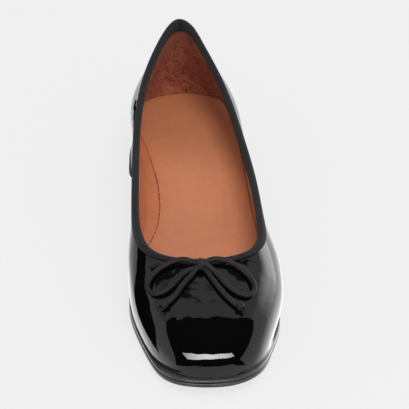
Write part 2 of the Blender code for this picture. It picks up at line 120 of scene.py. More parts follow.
# Sections of the wall from the heel's back round the outer side to the toe and back along the inner side.
# along, collar_along: shares of the sole's length. across, collar_across: shares of half the ball width.
# lip: share of the sole's lip. collar_height: share of the back height. swell, rise, reach and drop: how the
# wall leaves the feather edge and comes in to the collar, as shares of the section's height.
SECTIONS = [
    Section("heel_back", 0.0130, 0.010, 0.40, 0.0175, 0.014, 1.000, 0.08, 0.36, 0.010, 0.40),
    Section("heel_back_outer", 0.0290, 0.345, 0.40, 0.0360, 0.170, 0.974, 0.10, 0.36, 0.060, 0.40),
    Section("heel_outer", 0.0870, 0.630, 0.40, 0.0880, 0.310, 0.892, 0.12, 0.36, 0.150, 0.40),
    Section("seat_outer", 0.1900, 0.755, 0.35, 0.1900, 0.522, 0.745, 0.10, 0.38, 0.130, 0.40),
    Section("waist_outer_rear", 0.3170, 0.795, 0.30, 0.3100, 0.672, 0.640, 0.04, 0.38, 0.030, 0.40),
    Section("waist_outer", 0.4440, 0.840, 0.25, 0.4290, 0.775, 0.648, 0.02, 0.38, 0.010, 0.40),
    Section("waist_outer_front", 0.5560, 0.905, 0.15, 0.5280, 0.820, 0.690, 0.06, 0.38, 0.050, 0.40),
    Section("ball_outer", 0.6670, 0.970, 0.05, 0.6190, 0.825, 0.704, 0.12, 0.40, 0.180, 0.36),
    Section("ball_outer_front", 0.7540, 0.990, 0.05, 0.6790, 0.790, 0.690, 0.10, 0.42, 0.320, 0.30),
    Section("toe_outer_rear", 0.8180, 0.932, 0.10, 0.7170, 0.665, 0.690, 0.08, 0.46, 0.500, 0.26),
    Section("toe_outer", 0.8810, 0.776, 0.40, 0.7380, 0.480, 0.702, 0.05, 0.50, 0.680, 0.24),
    Section("toe_corner_outer", 0.9420, 0.560, 0.95, 0.7500, 0.290, 0.716, 0.03, 0.52, 0.800, 0.22),
    Section("toe_front_outer", 0.9815, 0.280, 1.00, 0.7560, 0.138, 0.726, 0.02, 0.54, 0.860, 0.22),
    Section("toe_front", 0.9895, 0.010, 1.00, 0.7570, 0.000, 0.730, 0.01, 0.54, 0.880, 0.22),
    Section("toe_front_inner", 0.9825, -0.265, 1.00, 0.7550, -0.142, 0.728, 0.02, 0.54, 0.860, 0.22),
    Section("toe_corner_inner", 0.9520, -0.535, 1.00, 0.7480, -0.285, 0.720, 0.03, 0.52, 0.800, 0.22),
    Section("toe_inner", 0.8970, -0.735, 0.55, 0.7330, -0.490, 0.708, 0.05, 0.50, 0.660, 0.24),
    Section("toe_inner_rear", 0.8210, -0.865, 0.30, 0.7060, -0.705, 0.702, 0.06, 0.46, 0.420, 0.26),
    Section("ball_inner_front", 0.7540, -0.942, 0.30, 0.6620, -0.826, 0.708, 0.04, 0.42, 0.230, 0.30),
    Section("ball_inner", 0.6750, -0.952, 0.30, 0.6030, -0.866, 0.728, 0.02, 0.40, 0.110, 0.36),
    Section("waist_inner_front", 0.5560, -0.805, 0.30, 0.5280, -0.845, 0.745, 0.14, 0.30, 0.020, 0.40),
    Section("waist_inner", 0.4440, -0.580, 0.30, 0.4370, -0.800, 0.712, 0.28, 0.26, 0.010, 0.40),
    Section("waist_inner_rear", 0.3370, -0.560, 0.30, 0.3330, -0.738, 0.684, 0.26, 0.28, 0.010, 0.40),
    Section("seat_inner_front", 0.2400, -0.625, 0.35, 0.2500, -0.655, 0.725, 0.20, 0.32, 0.020, 0.40),
    Section("seat_inner", 0.1560, -0.662, 0.40, 0.1700, -0.530, 0.805, 0.14, 0.36, 0.080, 0.40),
    Section("heel_inner", 0.0870, -0.600, 0.40, 0.0910, -0.328, 0.910, 0.13, 0.36, 0.120, 0.40),
    Section("heel_back_inner", 0.0310, -0.350, 0.40, 0.0380, -0.142, 0.978, 0.10, 0.36, 0.060, 0.40),
]

# Where the dressed shoe's lower edges differ a little from the last, in metres: how far the wall moves in at
# its base, how far its foot spreads out again, and how far the sole's edge moves out.
PLAIN_TRIM = (0.0006, 0.0, 0.0)
TOE_TRIMS = {
    "ball_outer_front": (0.0021, 0.0005, 0.0004),
    "toe_outer_rear": (0.0025, 0.0005, 0.0006),
    "toe_outer": (0.0001, 0.0005, 0.0012),
    "toe_corner_outer": (-0.0007, 0.0005, 0.0018),
    "toe_front_outer": (0.0008, 0.0005, 0.0008),
    "toe_front": (0.0011, 0.0005, 0.0004),
    "toe_front_inner": (0.0011, 0.0005, 0.0006),
    "toe_corner_inner": (0.0009, 0.0004, 0.0016),
    "toe_inner": (0.0006, 0.0, 0.0008),
    "toe_inner_rear": (0.0006, 0.0, 0.0006),
    "ball_inner_front": (0.0006, 0.0, 0.0006),
    "ball_inner": (0.0006, 0.0, 0.0003),
}

# Routes of the bow's two strands, as (along, across, up): shares of the sole's length, of half the ball width
# and of the back height above the feather edge. A strand leaves the knot, makes its loop on one side, passes
# through the knot and ends on the other side.
STRAND_FROM_INNER = [
    (0.7735, -0.105, 0.782),
    (0.7698, -0.140, 0.777),
    (0.7589, -0.265, 0.778),
    (0.7560, -0.384, 0.760),
    (0.7580, -0.514, 0.718),
    (0.7667, -0.648, 0.671),
    (0.7807, -0.744, 0.622),
    (0.7962, -0.781, 0.589),
    (0.8124, -0.753, 0.575),
    (0.8227, -0.674, 0.589),
    (0.8235, -0.565, 0.623),
    (0.8130, -0.451, 0.662),
    (0.7983, -0.354, 0.698),
    (0.7875, -0.274, 0.722),
    (0.7815, -0.190, 0.736),
    (0.7800, -0.080, 0.744),
    (0.7873, -0.009, 0.736),
    (0.8014, 0.038, 0.716),
    (0.8151, 0.082, 0.696),
    (0.8329, 0.144, 0.666),
    (0.8526, 0.222, 0.629),
    (0.8680, 0.305, 0.591),
    (0.8766, 0.369, 0.565),
]
STRAND_FROM_OUTER = [
    (0.7735, -0.040, 0.782),
    (0.7704, 0.003, 0.778),
    (0.7650, 0.090, 0.784),
    (0.7636, 0.190, 0.776),
    (0.7664, 0.299, 0.752),
    (0.7751, 0.415, 0.713),
    (0.7890, 0.516, 0.677),
    (0.8050, 0.591, 0.638),
    (0.8223, 0.617, 0.607),
    (0.8376, 0.587, 0.588),
    (0.8471, 0.503, 0.594),
    (0.8448, 0.395, 0.621),
    (0.8359, 0.311, 0.648),
    (0.8227, 0.231, 0.676),
    (0.8058, 0.164, 0.705),
    (0.7902, 0.090, 0.738),
    (0.7810, 0.000, 0.780),
    (0.7815, -0.080, 0.786),
    (0.7860, -0.136, 0.744),
    (0.7968, -0.200, 0.715),
    (0.8097, -0.279, 0.692),
    (0.8231, -0.351, 0.663),
    (0.8378, -0.419, 0.630),
    (0.8487, -0.497, 0.595),
    (0.8544, -0.559, 0.569),
]
KNOT_PLACE = (0.7785, -0.074, 0.780)
KNOT_TILT = math.radians(25)
STRAND_SPACING = 0.0003

Winding = namedtuple("Winding", "radius width turns start cord sides")

# How the knot and the end knots are wound: radius, width and the cord's radius as shares of the cord's
# diameter, the turns, the angle at which they start in radians, and the sides of the braid.
KNOT_WINDING = Winding(0.80, 0.95, 2.3, 2.2, 0.43, 24)
END_WINDING = Winding(0.42, 0.85, 1.8, 0.8, 0.40, 20)
KNOT_STRANDS = 3
KNOT_AXIS = (1.0, 0.12, 0.0)

# An end knot: how far past the strand's last point it sits, how far above it and how far past the knot the
# fibres start, as shares of the cord's diameter, how far its axis turns up, and over how many points of the
# strand its direction is taken. BRAID_TAPER: how far a braid closes at its ends.
END_REACH = 0.55
END_LIFT = 0.22
END_FIBRES_FROM = 0.62
END_UPWARDS = 0.18
END_POINTS = 8
BRAID_TAPER = 0.9

# A frayed tip: its fibres, the radii of a fibre at its root, its middle and its end, how far apart the fibres
# start and how long they are as shares of the cord's diameter, how far they fan out, and how far they droop
# as a share of their length.
TIP_FIBRES = 46
FIBRE_RADII = (0.00011, 0.00010, 0.00004)
FIBRE_SIDES = 4
FIBRE_SPREAD = 0.16
FIBRE_LENGTH = (0.55, 1.15)
FIBRE_FAN = 0.30
FIBRE_DROOP = 0.10

# The sock's cut edge over the arch, as (along, across) shares of the sole's length and of half the ball
# width. Before its first row and after its last the sock fills the insole from side to side.
SOCK_ARCH_EDGE = [
    (0.1500, -0.640),
    (0.1933, -0.587),
    (0.2246, -0.547),
    (0.2742, -0.502),
    (0.3242, -0.457),
    (0.3560, -0.440),
    (0.4115, -0.443),
    (0.4623, -0.495),
    (0.5052, -0.597),
    (0.5400, -0.720),
]

Crease = namedtuple("Crease", "along across turn length width depth")

# Soft troughs and ridges of the vamp. along and across: shares of the sole's length and of
# half the ball width. turn: degrees from straight across the shoe. length, width and depth are in metres, and
# a negative depth is a ridge.
CREASES = [
    Crease(0.835, -0.02, 4, 0.030, 0.0030, 0.00016),
    Crease(0.850, 0.14, -12, 0.018, 0.0026, -0.00012),
    Crease(0.820, -0.25, 16, 0.020, 0.0030, 0.00014),
    Crease(0.858, -0.22, -6, 0.016, 0.0024, 0.00010),
    Crease(0.866, 0.05, 8, 0.022, 0.0026, -0.00010),
    Crease(0.700, 0.93, 62, 0.022, 0.0040, 0.00020),
    Crease(0.735, 0.95, 70, 0.018, 0.0034, 0.00016),
    Crease(0.690, -0.93, -60, 0.022, 0.0040, 0.00020),
    Crease(0.725, -0.92, -66, 0.016, 0.0034, 0.00014),
]

# The ripple of the vamp: two crossing waves, each bent by a slower one. The bends are (how far, how fast).
RIPPLE_DEPTH = 0.000010
RIPPLE_LENGTH = 0.0070
RIPPLE_BEND = (2.0, 0.43)
RIPPLE_CROSS = 0.83
RIPPLE_CROSS_BEND = (1.7, 0.37)

# The lined insole reaches a little into the lining. Over the arch it curves up into the wall, in rows of
# (rise, inset from the wall), and the curve fades out over ARCH_FADE at both ends.
BOARD_INSET = -0.0004
ARCH_FILLET = [
    (0.0064, 0.0),
    (0.0048, 0.0001),
    (0.0036, 0.0003),
    (0.0026, 0.0007),
    (0.0018, 0.0013),
    (0.0011, 0.0021),
    (0.0006, 0.0031),
    (0.0002, 0.0043),
    (0.0, 0.0056),
]
ARCH_FADE = 0.0200

# The sock lies this far inside the lining. Its middle is crowned, its edge turns up at the back of the heel
# and is rounded by a share of its thickness. Its rings are rows of (inset from its edge, share of the crown,
# share of the turned-up edge). Its cut edge is traced in steps of ARCH_SPACING, past SOCK_INNER_FROM.
SOCK_INSET = 0.00025
SOCK_SOFT = 0.42
SOCK_INNER_FROM = -0.010
ARCH_SPACING = 0.001
SOCK_CROWN = 0.0004
SOCK_BACK_RISE = 0.0034
SOCK_BACK_PLACE = 0.0210
SOCK_BACK_LENGTH = 0.0085
SOCK_RINGS = [(0.0012, 0.30, 0.72), (0.0026, 0.55, 0.42), (0.0045, 0.80, 0.17), (0.0075, 1.0, 0.03)]

# The sock's stitches: the seed of their unevenness, how far outside its cut edge they lie, their thickness,
# where along it they start, how long they are and how far apart as shares of their usual length, and how far
# their ends dip and taper.
STITCH_SEED = 5
STITCH_INSET = 0.0001
STITCH_THICKNESS = 0.00058
STITCHES_FROM = 0.42
STITCH_RUN = (0.5, 1.5)
STITCH_SPACE = (0.25, 0.8)
STITCH_DIP = 0.5
STITCH_BLUNT = 1.02

# The linings start this far below the cut edge, the side lining this far inside the patent leather. The heel
# lining covers these sections, counted from the heel's back.
SIDE_LINING_TOP = 0.0008
HEEL_LINING_TOP = 0.0012
LINING_CLEAR = 0.00005
HEEL_LINING_SPAN = (-3.9, 4.1)

# The heel lining swells in over the sock's back edge: its depth, its height and its reach round the collar.
HEEL_SWELL = 0.0024
HEEL_SWELL_HEIGHT = 0.0022
HEEL_SWELL_REACH = 0.0110

# The tape's inner leg is deeper at the back of the heel, over this reach along the collar.
TAPE_BACK_EXTRA = 0.0022
TAPE_BACK_REACH = 0.0060

# Width of the groove at the back of the heel where the tape's two ends meet, and the spacing of the tape's
# fine threads as a share of its ribs'.
TAPE_JOIN = 0.0008
THREAD_SHARE = 0.62

# The tape's section, as shares of the tape's thickness: what it has at the outer edge, what it gains towards
# the fold and how soon, and what it loses at the inner edge. CROWN_SPAN: the fold's reach in degrees.
TAPE_EDGE = 0.72
TAPE_GAIN = 0.33
TAPE_GAIN_START = 0.02
TAPE_GAIN_PACE = 1.2
TAPE_THIN = 0.25
CROWN_SPAN = (2, 178)

# How deep the tape's ribs, threads and lint are, as shares of the distance between two ribs.
RIB_DEPTH = 0.22
THREAD_DEPTH = 0.05
LINT_DEPTH = 0.05

# The darkest and lightest shade of a finish, as shares of its colour.
TAPE_SHADES = (0.45, 1.30)
CORD_SHADES = (0.55, 1.5)
RUBBER_SHADES = (0.8, 1.6)
SUEDE_LIGHT = 1.15

# Painted shadow of the tape: the suede is darker towards the collar, between these heights above the
# floor, and this share of its lighter colour is left at the top.
COLLAR_SHADOW_HEIGHTS = (0.0560, 0.0730)
COLLAR_SHADOW_SHARE = 0.35

# The photograph's camera: its angles, its distance from the point that it is aimed at, the picture's scale
# there, and where that point shows, in pixels of the photograph. The render shows a square part of the
# photograph round the shoe.
VIEW_ELEVATION = math.radians(39.27)
VIEW_AZIMUTH = math.radians(-4.81)
VIEW_DISTANCE = 2.0
VIEW_AIM = Vector((-0.001385, 0.000151, 0.030))
PIXELS_PER_METRE = 1155.5
AIM_PIXEL = (259.8, 228.1)
CROP_CORNER = (131, 90)
CROP_SIZE = 270
SENSOR = 36.0
VIEW_CLIP = 20.0

# What the patent mirrors, in metres from the frame's origin. The front of the studio is dark: a canopy with
# its back edge over the toe and its sides running out to the front, and a wall that closes it far in front. A
# bright window stands before it, a grey ceiling hangs behind it, and parts of the floor are dark.
CANOPY_HEIGHT = 3.0
CANOPY_BACK = 0.20
CANOPY_INNER = [(-2.9, 0.20), (-7.2, -1.9), (-48.0, -20.0)]
CANOPY_OUTER = [(3.9, 0.20), (5.5, -0.4), (7.8, -1.6), (9.3, -3.2), (27.0, -20.0)]
CANOPY_WALL_FOOT = [(-13.0, 0.0), (-6.0, 1.05), (0.0, 1.35), (7.0, 1.05), (16.0, 0.0)]
DARK_FLOOR_INNER = [(-0.048, -0.128), (-0.058, -0.143), (-0.14, -0.32), (-13.0, -20.0), (-46.0, -20.0)]
DARK_FLOOR_OUTER = [(0.046, -0.132), (0.052, -0.150), (0.16, -0.32), (16.0, -20.0), (26.6, -20.0)]
DARK_FLOOR_HEEL = [(-0.0525, 0.160), (-0.050, 0.136), (-0.042, 0.108), (-0.050, 0.104), (-0.064, 0.158)]
DARK_FLOOR_HEIGHT = 0.0005
CEILING_BACK = 3.0
CEILING_HALF_WIDTH = 3.5

# Darker patches of the ceiling, which the vamp mirrors as painted shade under the bow's loops and knot,
# as (X, Y, half width, half depth, share of its brightness that is left).
CEILING_SHADE_PATCHES = [
    (-0.50, 0.93, 0.28, 0.13, 0.08),
    (-0.28, 0.79, 0.24, 0.07, 0.35),
    (0.27, 0.68, 0.17, 0.15, 0.60),
    (-1.45, 1.43, 0.90, 0.09, 0.05),
    (-1.50, 1.24, 0.50, 0.10, 0.60),
    (1.45, 1.40, 0.80, 0.08, 0.05),
]
PATCH_WARP = 0.20
PATCH_FADE = (0.4, 1.3)
WINDOW_PLACE = -3.0
WINDOW_CORNERS = [
    (-3.6, 1.80), (-2.8, 1.15), (-0.3, 1.84), (2.65, 1.68),
    (2.2, 2.78), (0.0, 3.38), (-2.05, 3.03), (-4.2, 2.38),
]
WINDOW_BRIGHTEST = -0.2
WINDOW_HALF_WIDTH = 3.4
WINDOW_END_SHARE = 0.40

# The panel on the outer side, and its glow on the floor: both fade in and out with the direction from a place
# under the toe, in degrees from the outer side towards the back, and the panel also fades at its top.
PANEL_FROM = (-0.021, -0.130, 0.0006)
PANEL_DISTANCE = 2.2
PANEL_HEIGHT = 1.75
PANEL_SOLID_HEIGHT = 1.05
PANEL_SPAN = (8.0, 76.0)
PANEL_STEPS = 12
PANEL_RISE = (12.0, 32.0)
PANEL_FALL = (36.0, 68.0)
PANEL_ON_FLOOR = 0.55

# An upright dark card on the inner side at this X, with its outline as (Y, Z), and the lit floor round it:
# its brightness, its middle, half its width and depth, and where it starts to fade.
DARK_CARD_PLACE = -0.053
DARK_CARD = [
    (-0.103, 0.0010),
    (-0.085, 0.0030),
    (-0.070, 0.0040),
    (-0.063, 0.0080),
    (-0.058, 0.0180),
    (-0.055, 0.0280),
    (-0.049, 0.0370),
    (-0.040, 0.0410),
    (-0.025, 0.0430),
    (-0.025, 0.0480),
    (-0.038, 0.0530),
    (-0.045, 0.0600),
    (-0.052, 0.0560),
    (-0.060, 0.0490),
    (-0.068, 0.0450),
    (-0.074, 0.0460),
    (-0.081, 0.0410),
    (-0.090, 0.0350),
    (-0.096, 0.0300),
    (-0.099, 0.0220),
    (-0.099, 0.0080),
]
INNER_GLOW = 1.35
INNER_GLOW_PLACE = (-0.053, -0.066, 0.0003)
INNER_GLOW_HALF = (0.034, 0.072)
INNER_GLOW_FADE = 0.45

# The white floor's half width, and the key light: its place, its aim and its size.
FLOOR_HALF = 4.0
KEY_PLACE = (0.14, -0.45, 1.11)
KEY_AIM = (0.0, 0.0, 0.03)
KEY_SIZE = 0.40


def size_property(label, text, default):
    """A length with its name and description."""
    return FloatProperty(name=label, description=text, default=default, unit="LENGTH")


def colour_property(label, text, default):
    """A colour with its name and description."""
    limits = {"min": 0.0, "max": 1.0}
    return FloatVectorProperty(name=label, description=text, default=default, subtype="COLOR", **limits)


def glow_property(label, text, default):
    """A brightness with its name and description."""
    return FloatProperty(name=label, description=text, default=default)


class ShoeSizes(PropertyGroup):
    """Sizes of the parts that only the dressed shoe has."""

    patent: size_property("Patent leather", "Thickness of the patent leather", 0.00105)
    lining: size_property("Lining", "Thickness of the lining leather", 0.00060)
    heel_lining: size_property("Heel lining", "Thickness of the suede at the heel", 0.00035)
    tape: size_property("Collar tape", "Thickness of the collar tape", 0.00090)
    tape_leg: size_property("Tape outside", "Depth of the tape on the outside", 0.0026)
    tape_inner_leg: size_property("Tape inside", "Depth of the tape on the inside", 0.0030)
    tape_crown: size_property("Tape crown", "Rise of the tape over the cut edge", 0.0016)
    rib: size_property("Tape rib", "Distance between two ribs of the tape", 0.00060)
    cord: size_property("Bow cord", "Diameter of the bow's cord", 0.0028)
    sock: size_property("Sock", "Thickness of the sock on the insole", 0.0011)
    stitch: size_property("Stitch", "Length of a stitch in the sock's edge", 0.0021)


class ShoeColours(PropertyGroup):
    """Colours of the shoe's finishes."""

    patent: colour_property("Patent", "Colour under the patent's gloss", (0.0020, 0.0020, 0.0021))
    tape: colour_property("Tape", "Colour of the collar tape", (0.010, 0.010, 0.0105))
    cord: colour_property("Cord", "Colour of the bow's cord", (0.0095, 0.0089, 0.0085))
    sock: colour_property("Sock", "Colour of the sock's leather", (0.50, 0.179, 0.080))
    lining: colour_property("Lining", "Colour of the lining leather", (0.475, 0.142, 0.056))
    suede: colour_property("Suede", "Colour of the heel lining", (0.330, 0.092, 0.050))
    # suede_dark is also the colour of the tape's painted shadow near the collar.
    suede_dark: colour_property("Dark nap", "Colour of the suede's dark nap", (0.135, 0.034, 0.019))
    thread: colour_property("Thread", "Colour of the sock's stitches", (0.190, 0.060, 0.030))
    sole_edge: colour_property("Sole edge", "Colour of the dressed sole edge", (0.034, 0.034, 0.035))
    rubber: colour_property("Rubber", "Colour of the outsole and the top lift", (0.034, 0.035, 0.035))
    lacquer: colour_property("Heel", "Colour of the heel's lacquer", (0.003, 0.003, 0.0032))


class StageSettings(PropertyGroup):
    """The floor and the light."""

    floor: colour_property("Floor", "Colour of the floor", (0.10, 0.10, 0.10))
    floor_glow: glow_property("Floor glow", "Light that comes through the floor", 0.750)
    surround: glow_property("Surround", "Brightness of the white surround", 0.86)
    key: FloatProperty(name="Key light", description="Power of the key light", default=7.0, unit="POWER")
    window: glow_property("Window", "Brightness of the window that the toe mirrors", 16.0)
    ceiling: glow_property("Ceiling", "Brightness of the ceiling that the vamp mirrors", 0.62)
    side: glow_property("Side panel", "Brightness of the panel that the outer side mirrors", 5.0)


def eased(share):
    """A smooth step from 0 to 1."""
    share = np.clip(share, 0.0, 1.0)
    return share * share * (3.0 - 2.0 * share)


def sole_lift(along):
    """Height of the outsole's underside above the floor."""
    along = np.asarray(along, float)
    shank = HEEL_RISE * (1.0 - eased((along - HEEL_BREAST) / (SHANK_END - HEEL_BREAST)))
    past = np.clip((along - TOE_SPRING_START) / (SOLE_LENGTH - TOE_SPRING_START), 0.0, None)
    return shank + TOE_SPRING * past**TOE_SPRING_POWER


def outsole_top(along):
    """Height of the outsole's upper face."""
    return sole_lift(along) + OUTSOLE_THICKNESS


def midsole_bottom(along):
    """Height of the midsole's underside."""
    return outsole_top(along) + GAP


def midsole_top(along):
    """Height of the ledge round the upper."""
    return midsole_bottom(along) + MIDSOLE_THICKNESS


def feather_height(along):
    """Height of the upper's feather edge."""
    return midsole_top(along) + GAP


def ring_through(rows, steps):
    """A closed cubic spline through the rows, with as many points as rows times steps."""
    rows = np.asarray(rows, float)
    count = len(rows)
    matrix = 4.0 * np.eye(count) + np.roll(np.eye(count), 1, 1) + np.roll(np.eye(count), -1, 1)
    slopes = np.linalg.solve(matrix, 3.0 * (np.roll(rows, -1, 0) - np.roll(rows, 1, 0)))
    share = (np.arange(steps) / steps)[None, :, None]
    start, end = rows[:, None], np.roll(rows, -1, 0)[:, None]
    leave, arrive = slopes[:, None], np.roll(slopes, -1, 0)[:, None]
    points = (
        (2 * share**3 - 3 * share**2 + 1) * start
        + (share**3 - 2 * share**2 + share) * leave
        + (3 * share**2 - 2 * share**3) * end
        + (share**3 - share**2) * arrive
    )
    return points.reshape(count * steps, -1)


def outward(plan):
    """Unit normals of a closed plan outline, pointing out."""
    tangent = np.roll(plan, -1, 0) - np.roll(plan, 1, 0)
    normal = np.stack([-tangent[:, 1], tangent[:, 0]], 1)
    normal /= np.linalg.norm(normal, axis=1, keepdims=True)
    return normal * np.sign(((plan - plan.mean(0)) * normal).sum())


def wall_sections():
    """The numbers of every section round the shoe, the feather line and the collar line in plan."""
    ring = Section("ring", *ring_through([row[1:] for row in SECTIONS], STEPS).T)
    half = BALL_WIDTH / 2
    feather = np.stack([ring.along * SOLE_LENGTH, ring.across * half], 1)
    collar = np.stack([ring.collar_along * SOLE_LENGTH, ring.collar_across * half], 1)
    return ring, feather, collar


def edge_trims():
    """The trims of the wall's base, of its foot and of the sole's edge, round the feather line."""
    return ring_through([TOE_TRIMS.get(row.name, PLAIN_TRIM) for row in SECTIONS], STEPS).T


def surface_normals(surface, out):
    """Unit normals of rings of points, turned the way that out points in plan."""
    normal = np.cross(np.gradient(surface, axis=0), np.roll(surface, -1, 1) - np.roll(surface, 1, 1))
    normal /= np.linalg.norm(normal, axis=2, keepdims=True)
    middle = len(surface) // 2
    return normal * np.sign((normal[middle, :, :2] * out).sum())


def wall_surface():
    """The upper's outer face as fine rings from the collar down to the feather edge, with its normals."""
    ring, feather, collar = wall_sections()
    low = feather_height(feather[:, 0])
    high = feather_height(collar[:, 0]) + ring.collar_height * BACK_HEIGHT
    tall = high - low
    out = outward(feather)
    start = np.column_stack([feather + out * FEATHER_ROLL, low])
    end = np.column_stack([collar, high])
    leave = start + np.column_stack([out * (ring.swell * tall)[:, None], ring.rise * tall])
    inset, foot, _ = edge_trims()
    start[:, :2] -= out * inset[:, None]
    arrive = end + np.column_stack([out * (ring.reach * tall)[:, None], -ring.drop * tall])
    share = np.linspace(1.0, 0.0, FINE_ROWS)[:, None, None]
    surface = (
        (1 - share) ** 3 * start
        + 3 * (1 - share) ** 2 * share * leave
        + 3 * (1 - share) * share**2 * arrive
        + share**3 * end
    )
    above = np.clip((surface[:, :, 2] - low) / FOOT_HEIGHT, 0.0, 1.0)
    surface[:, :, :2] += out * (foot * (1.0 - above) ** 2)[:, :, None]
    return surface, surface_normals(surface, out)


def rings_at(surface, normal, depths):
    """Rings of the wall and its normals at depths below the cut edge, each one number or one a column."""
    steps = np.linalg.norm(np.diff(surface, axis=0), axis=2)
    depth = np.vstack([np.zeros(surface.shape[1]), np.cumsum(steps, axis=0)])
    both = np.concatenate([surface, normal], axis=2)
    rings = np.empty((len(depths), *both.shape[1:]))
    for column in range(both.shape[1]):
        places = [float(np.broadcast_to(d, surface.shape[1])[column]) for d in depths]
        for axis in range(6):
            rings[:, column, axis] = np.interp(places, depth[:, column], both[:, column, axis])
    rings[:, :, 3:] /= np.linalg.norm(rings[:, :, 3:], axis=2, keepdims=True)
    return rings[:, :, :3], rings[:, :, 3:]


WALL_SURFACE, WALL_NORMAL = wall_surface()
WALL_DEPTH = np.linalg.norm(np.diff(WALL_SURFACE, axis=0), axis=2).sum(0)


def shoe_shift():
    """From the shoe's own axes to the frame: the upper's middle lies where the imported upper's middle lies."""
    low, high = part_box("upper")
    flat = WALL_SURFACE[:, :, :2].reshape(-1, 2)
    along, across = (flat.min(0) + flat.max(0)) / 2
    return (low.x + high.x) / 2 - across, (low.y + high.y) / 2 + along


SHIFT_X, SHIFT_Y = shoe_shift()


def to_frame(points):
    """From (along, across, up) to the frame's X, Y and Z."""
    points = np.asarray(points, float)
    return np.stack([points[..., 1] + SHIFT_X, SHIFT_Y - points[..., 0], points[..., 2]], -1)


def path_lengths(points):
    """Distance of each point along a line of points from its start."""
    steps = np.linalg.norm(np.diff(points, axis=0), axis=1)
    return np.concatenate([[0.0], np.cumsum(steps)])


def from_heel_back():
    """Distance of each column of the wall from the back of the heel, along the collar."""
    collar = path_lengths(WALL_SURFACE[0])
    return np.minimum(collar, collar[-1] - collar)


def add_piece(name, mesh, finish, stands_for=()):
    """Puts a mesh into the scene as a piece of the shoe that rides on the root body."""
    made = bpy.data.objects.new(name, mesh)
    bpy.context.scene.collection.objects.link(made)
    mesh.materials.append(finish)
    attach(made, "root")
    if stands_for:
        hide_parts(*stands_for)
    return made


def solid_mesh(name, points, faces, corners=None, sharp=None):
    """A smooth mesh with its faces turned outwards. corners gives each face corner's place in the texture."""
    mesh = bpy.data.meshes.new(name)
    mesh.from_pydata(points.tolist(), [], faces)
    if corners is not None:
        layer = mesh.uv_layers.new(name="UVMap")
        layer.data.foreach_set("uv", np.asarray(corners, np.float32).ravel())
    shape = bmesh.new()
    shape.from_mesh(mesh)
    bmesh.ops.recalc_face_normals(shape, faces=shape.faces)
    shape.to_mesh(mesh)
    shape.free()
    mesh.shade_smooth()
    if sharp:
        mesh.set_sharp_from_angle(angle=math.radians(sharp))
    return mesh


def grid_faces(rows, columns, wrap_rows, wrap_columns):
    """Quads of a grid of points, with the row and column steps of each quad's four corners."""
    down = np.arange(rows if wrap_rows else rows - 1)
    aside = np.arange(columns if wrap_columns else columns - 1)
    row, column = np.meshgrid(down, aside, indexing="ij")
    corners = ((0, 0), (0, 1), (1, 1), (1, 0))
    steps = np.stack([np.stack([row + below, column + beside], -1) for below, beside in corners], 2)
    steps = steps.reshape(-1, 4, 2)
    return (steps[..., 0] % rows) * columns + steps[..., 1] % columns, steps


def lofted(name, rings, closed_profile=False, wrap=True, caps=False, sharp=None):
    """A mesh through rings of points in the frame, with a texture in metres round and across the rings."""
    rings = np.asarray(rings, float)
    rows, columns = rings.shape[:2]
    faces, steps = grid_faces(rows, columns, closed_profile, wrap)
    middle = rings[rows // 2]
    round_it = path_lengths(np.vstack([middle, middle[:1]]))
    down = path_lengths(np.vstack([rings[:, 0], rings[:1, 0]]))
    corners = np.stack([round_it[steps[..., 1]], down[steps[..., 0]]], -1).reshape(-1, 2)
    faces = faces.tolist()
    if caps:
        for start in (0, (rows - 1) * columns):
            faces.append(list(range(start, start + columns)))
            corners = np.vstack([corners, np.zeros((columns, 2))])
    return solid_mesh(name, rings.reshape(-1, 3), faces, corners, sharp)


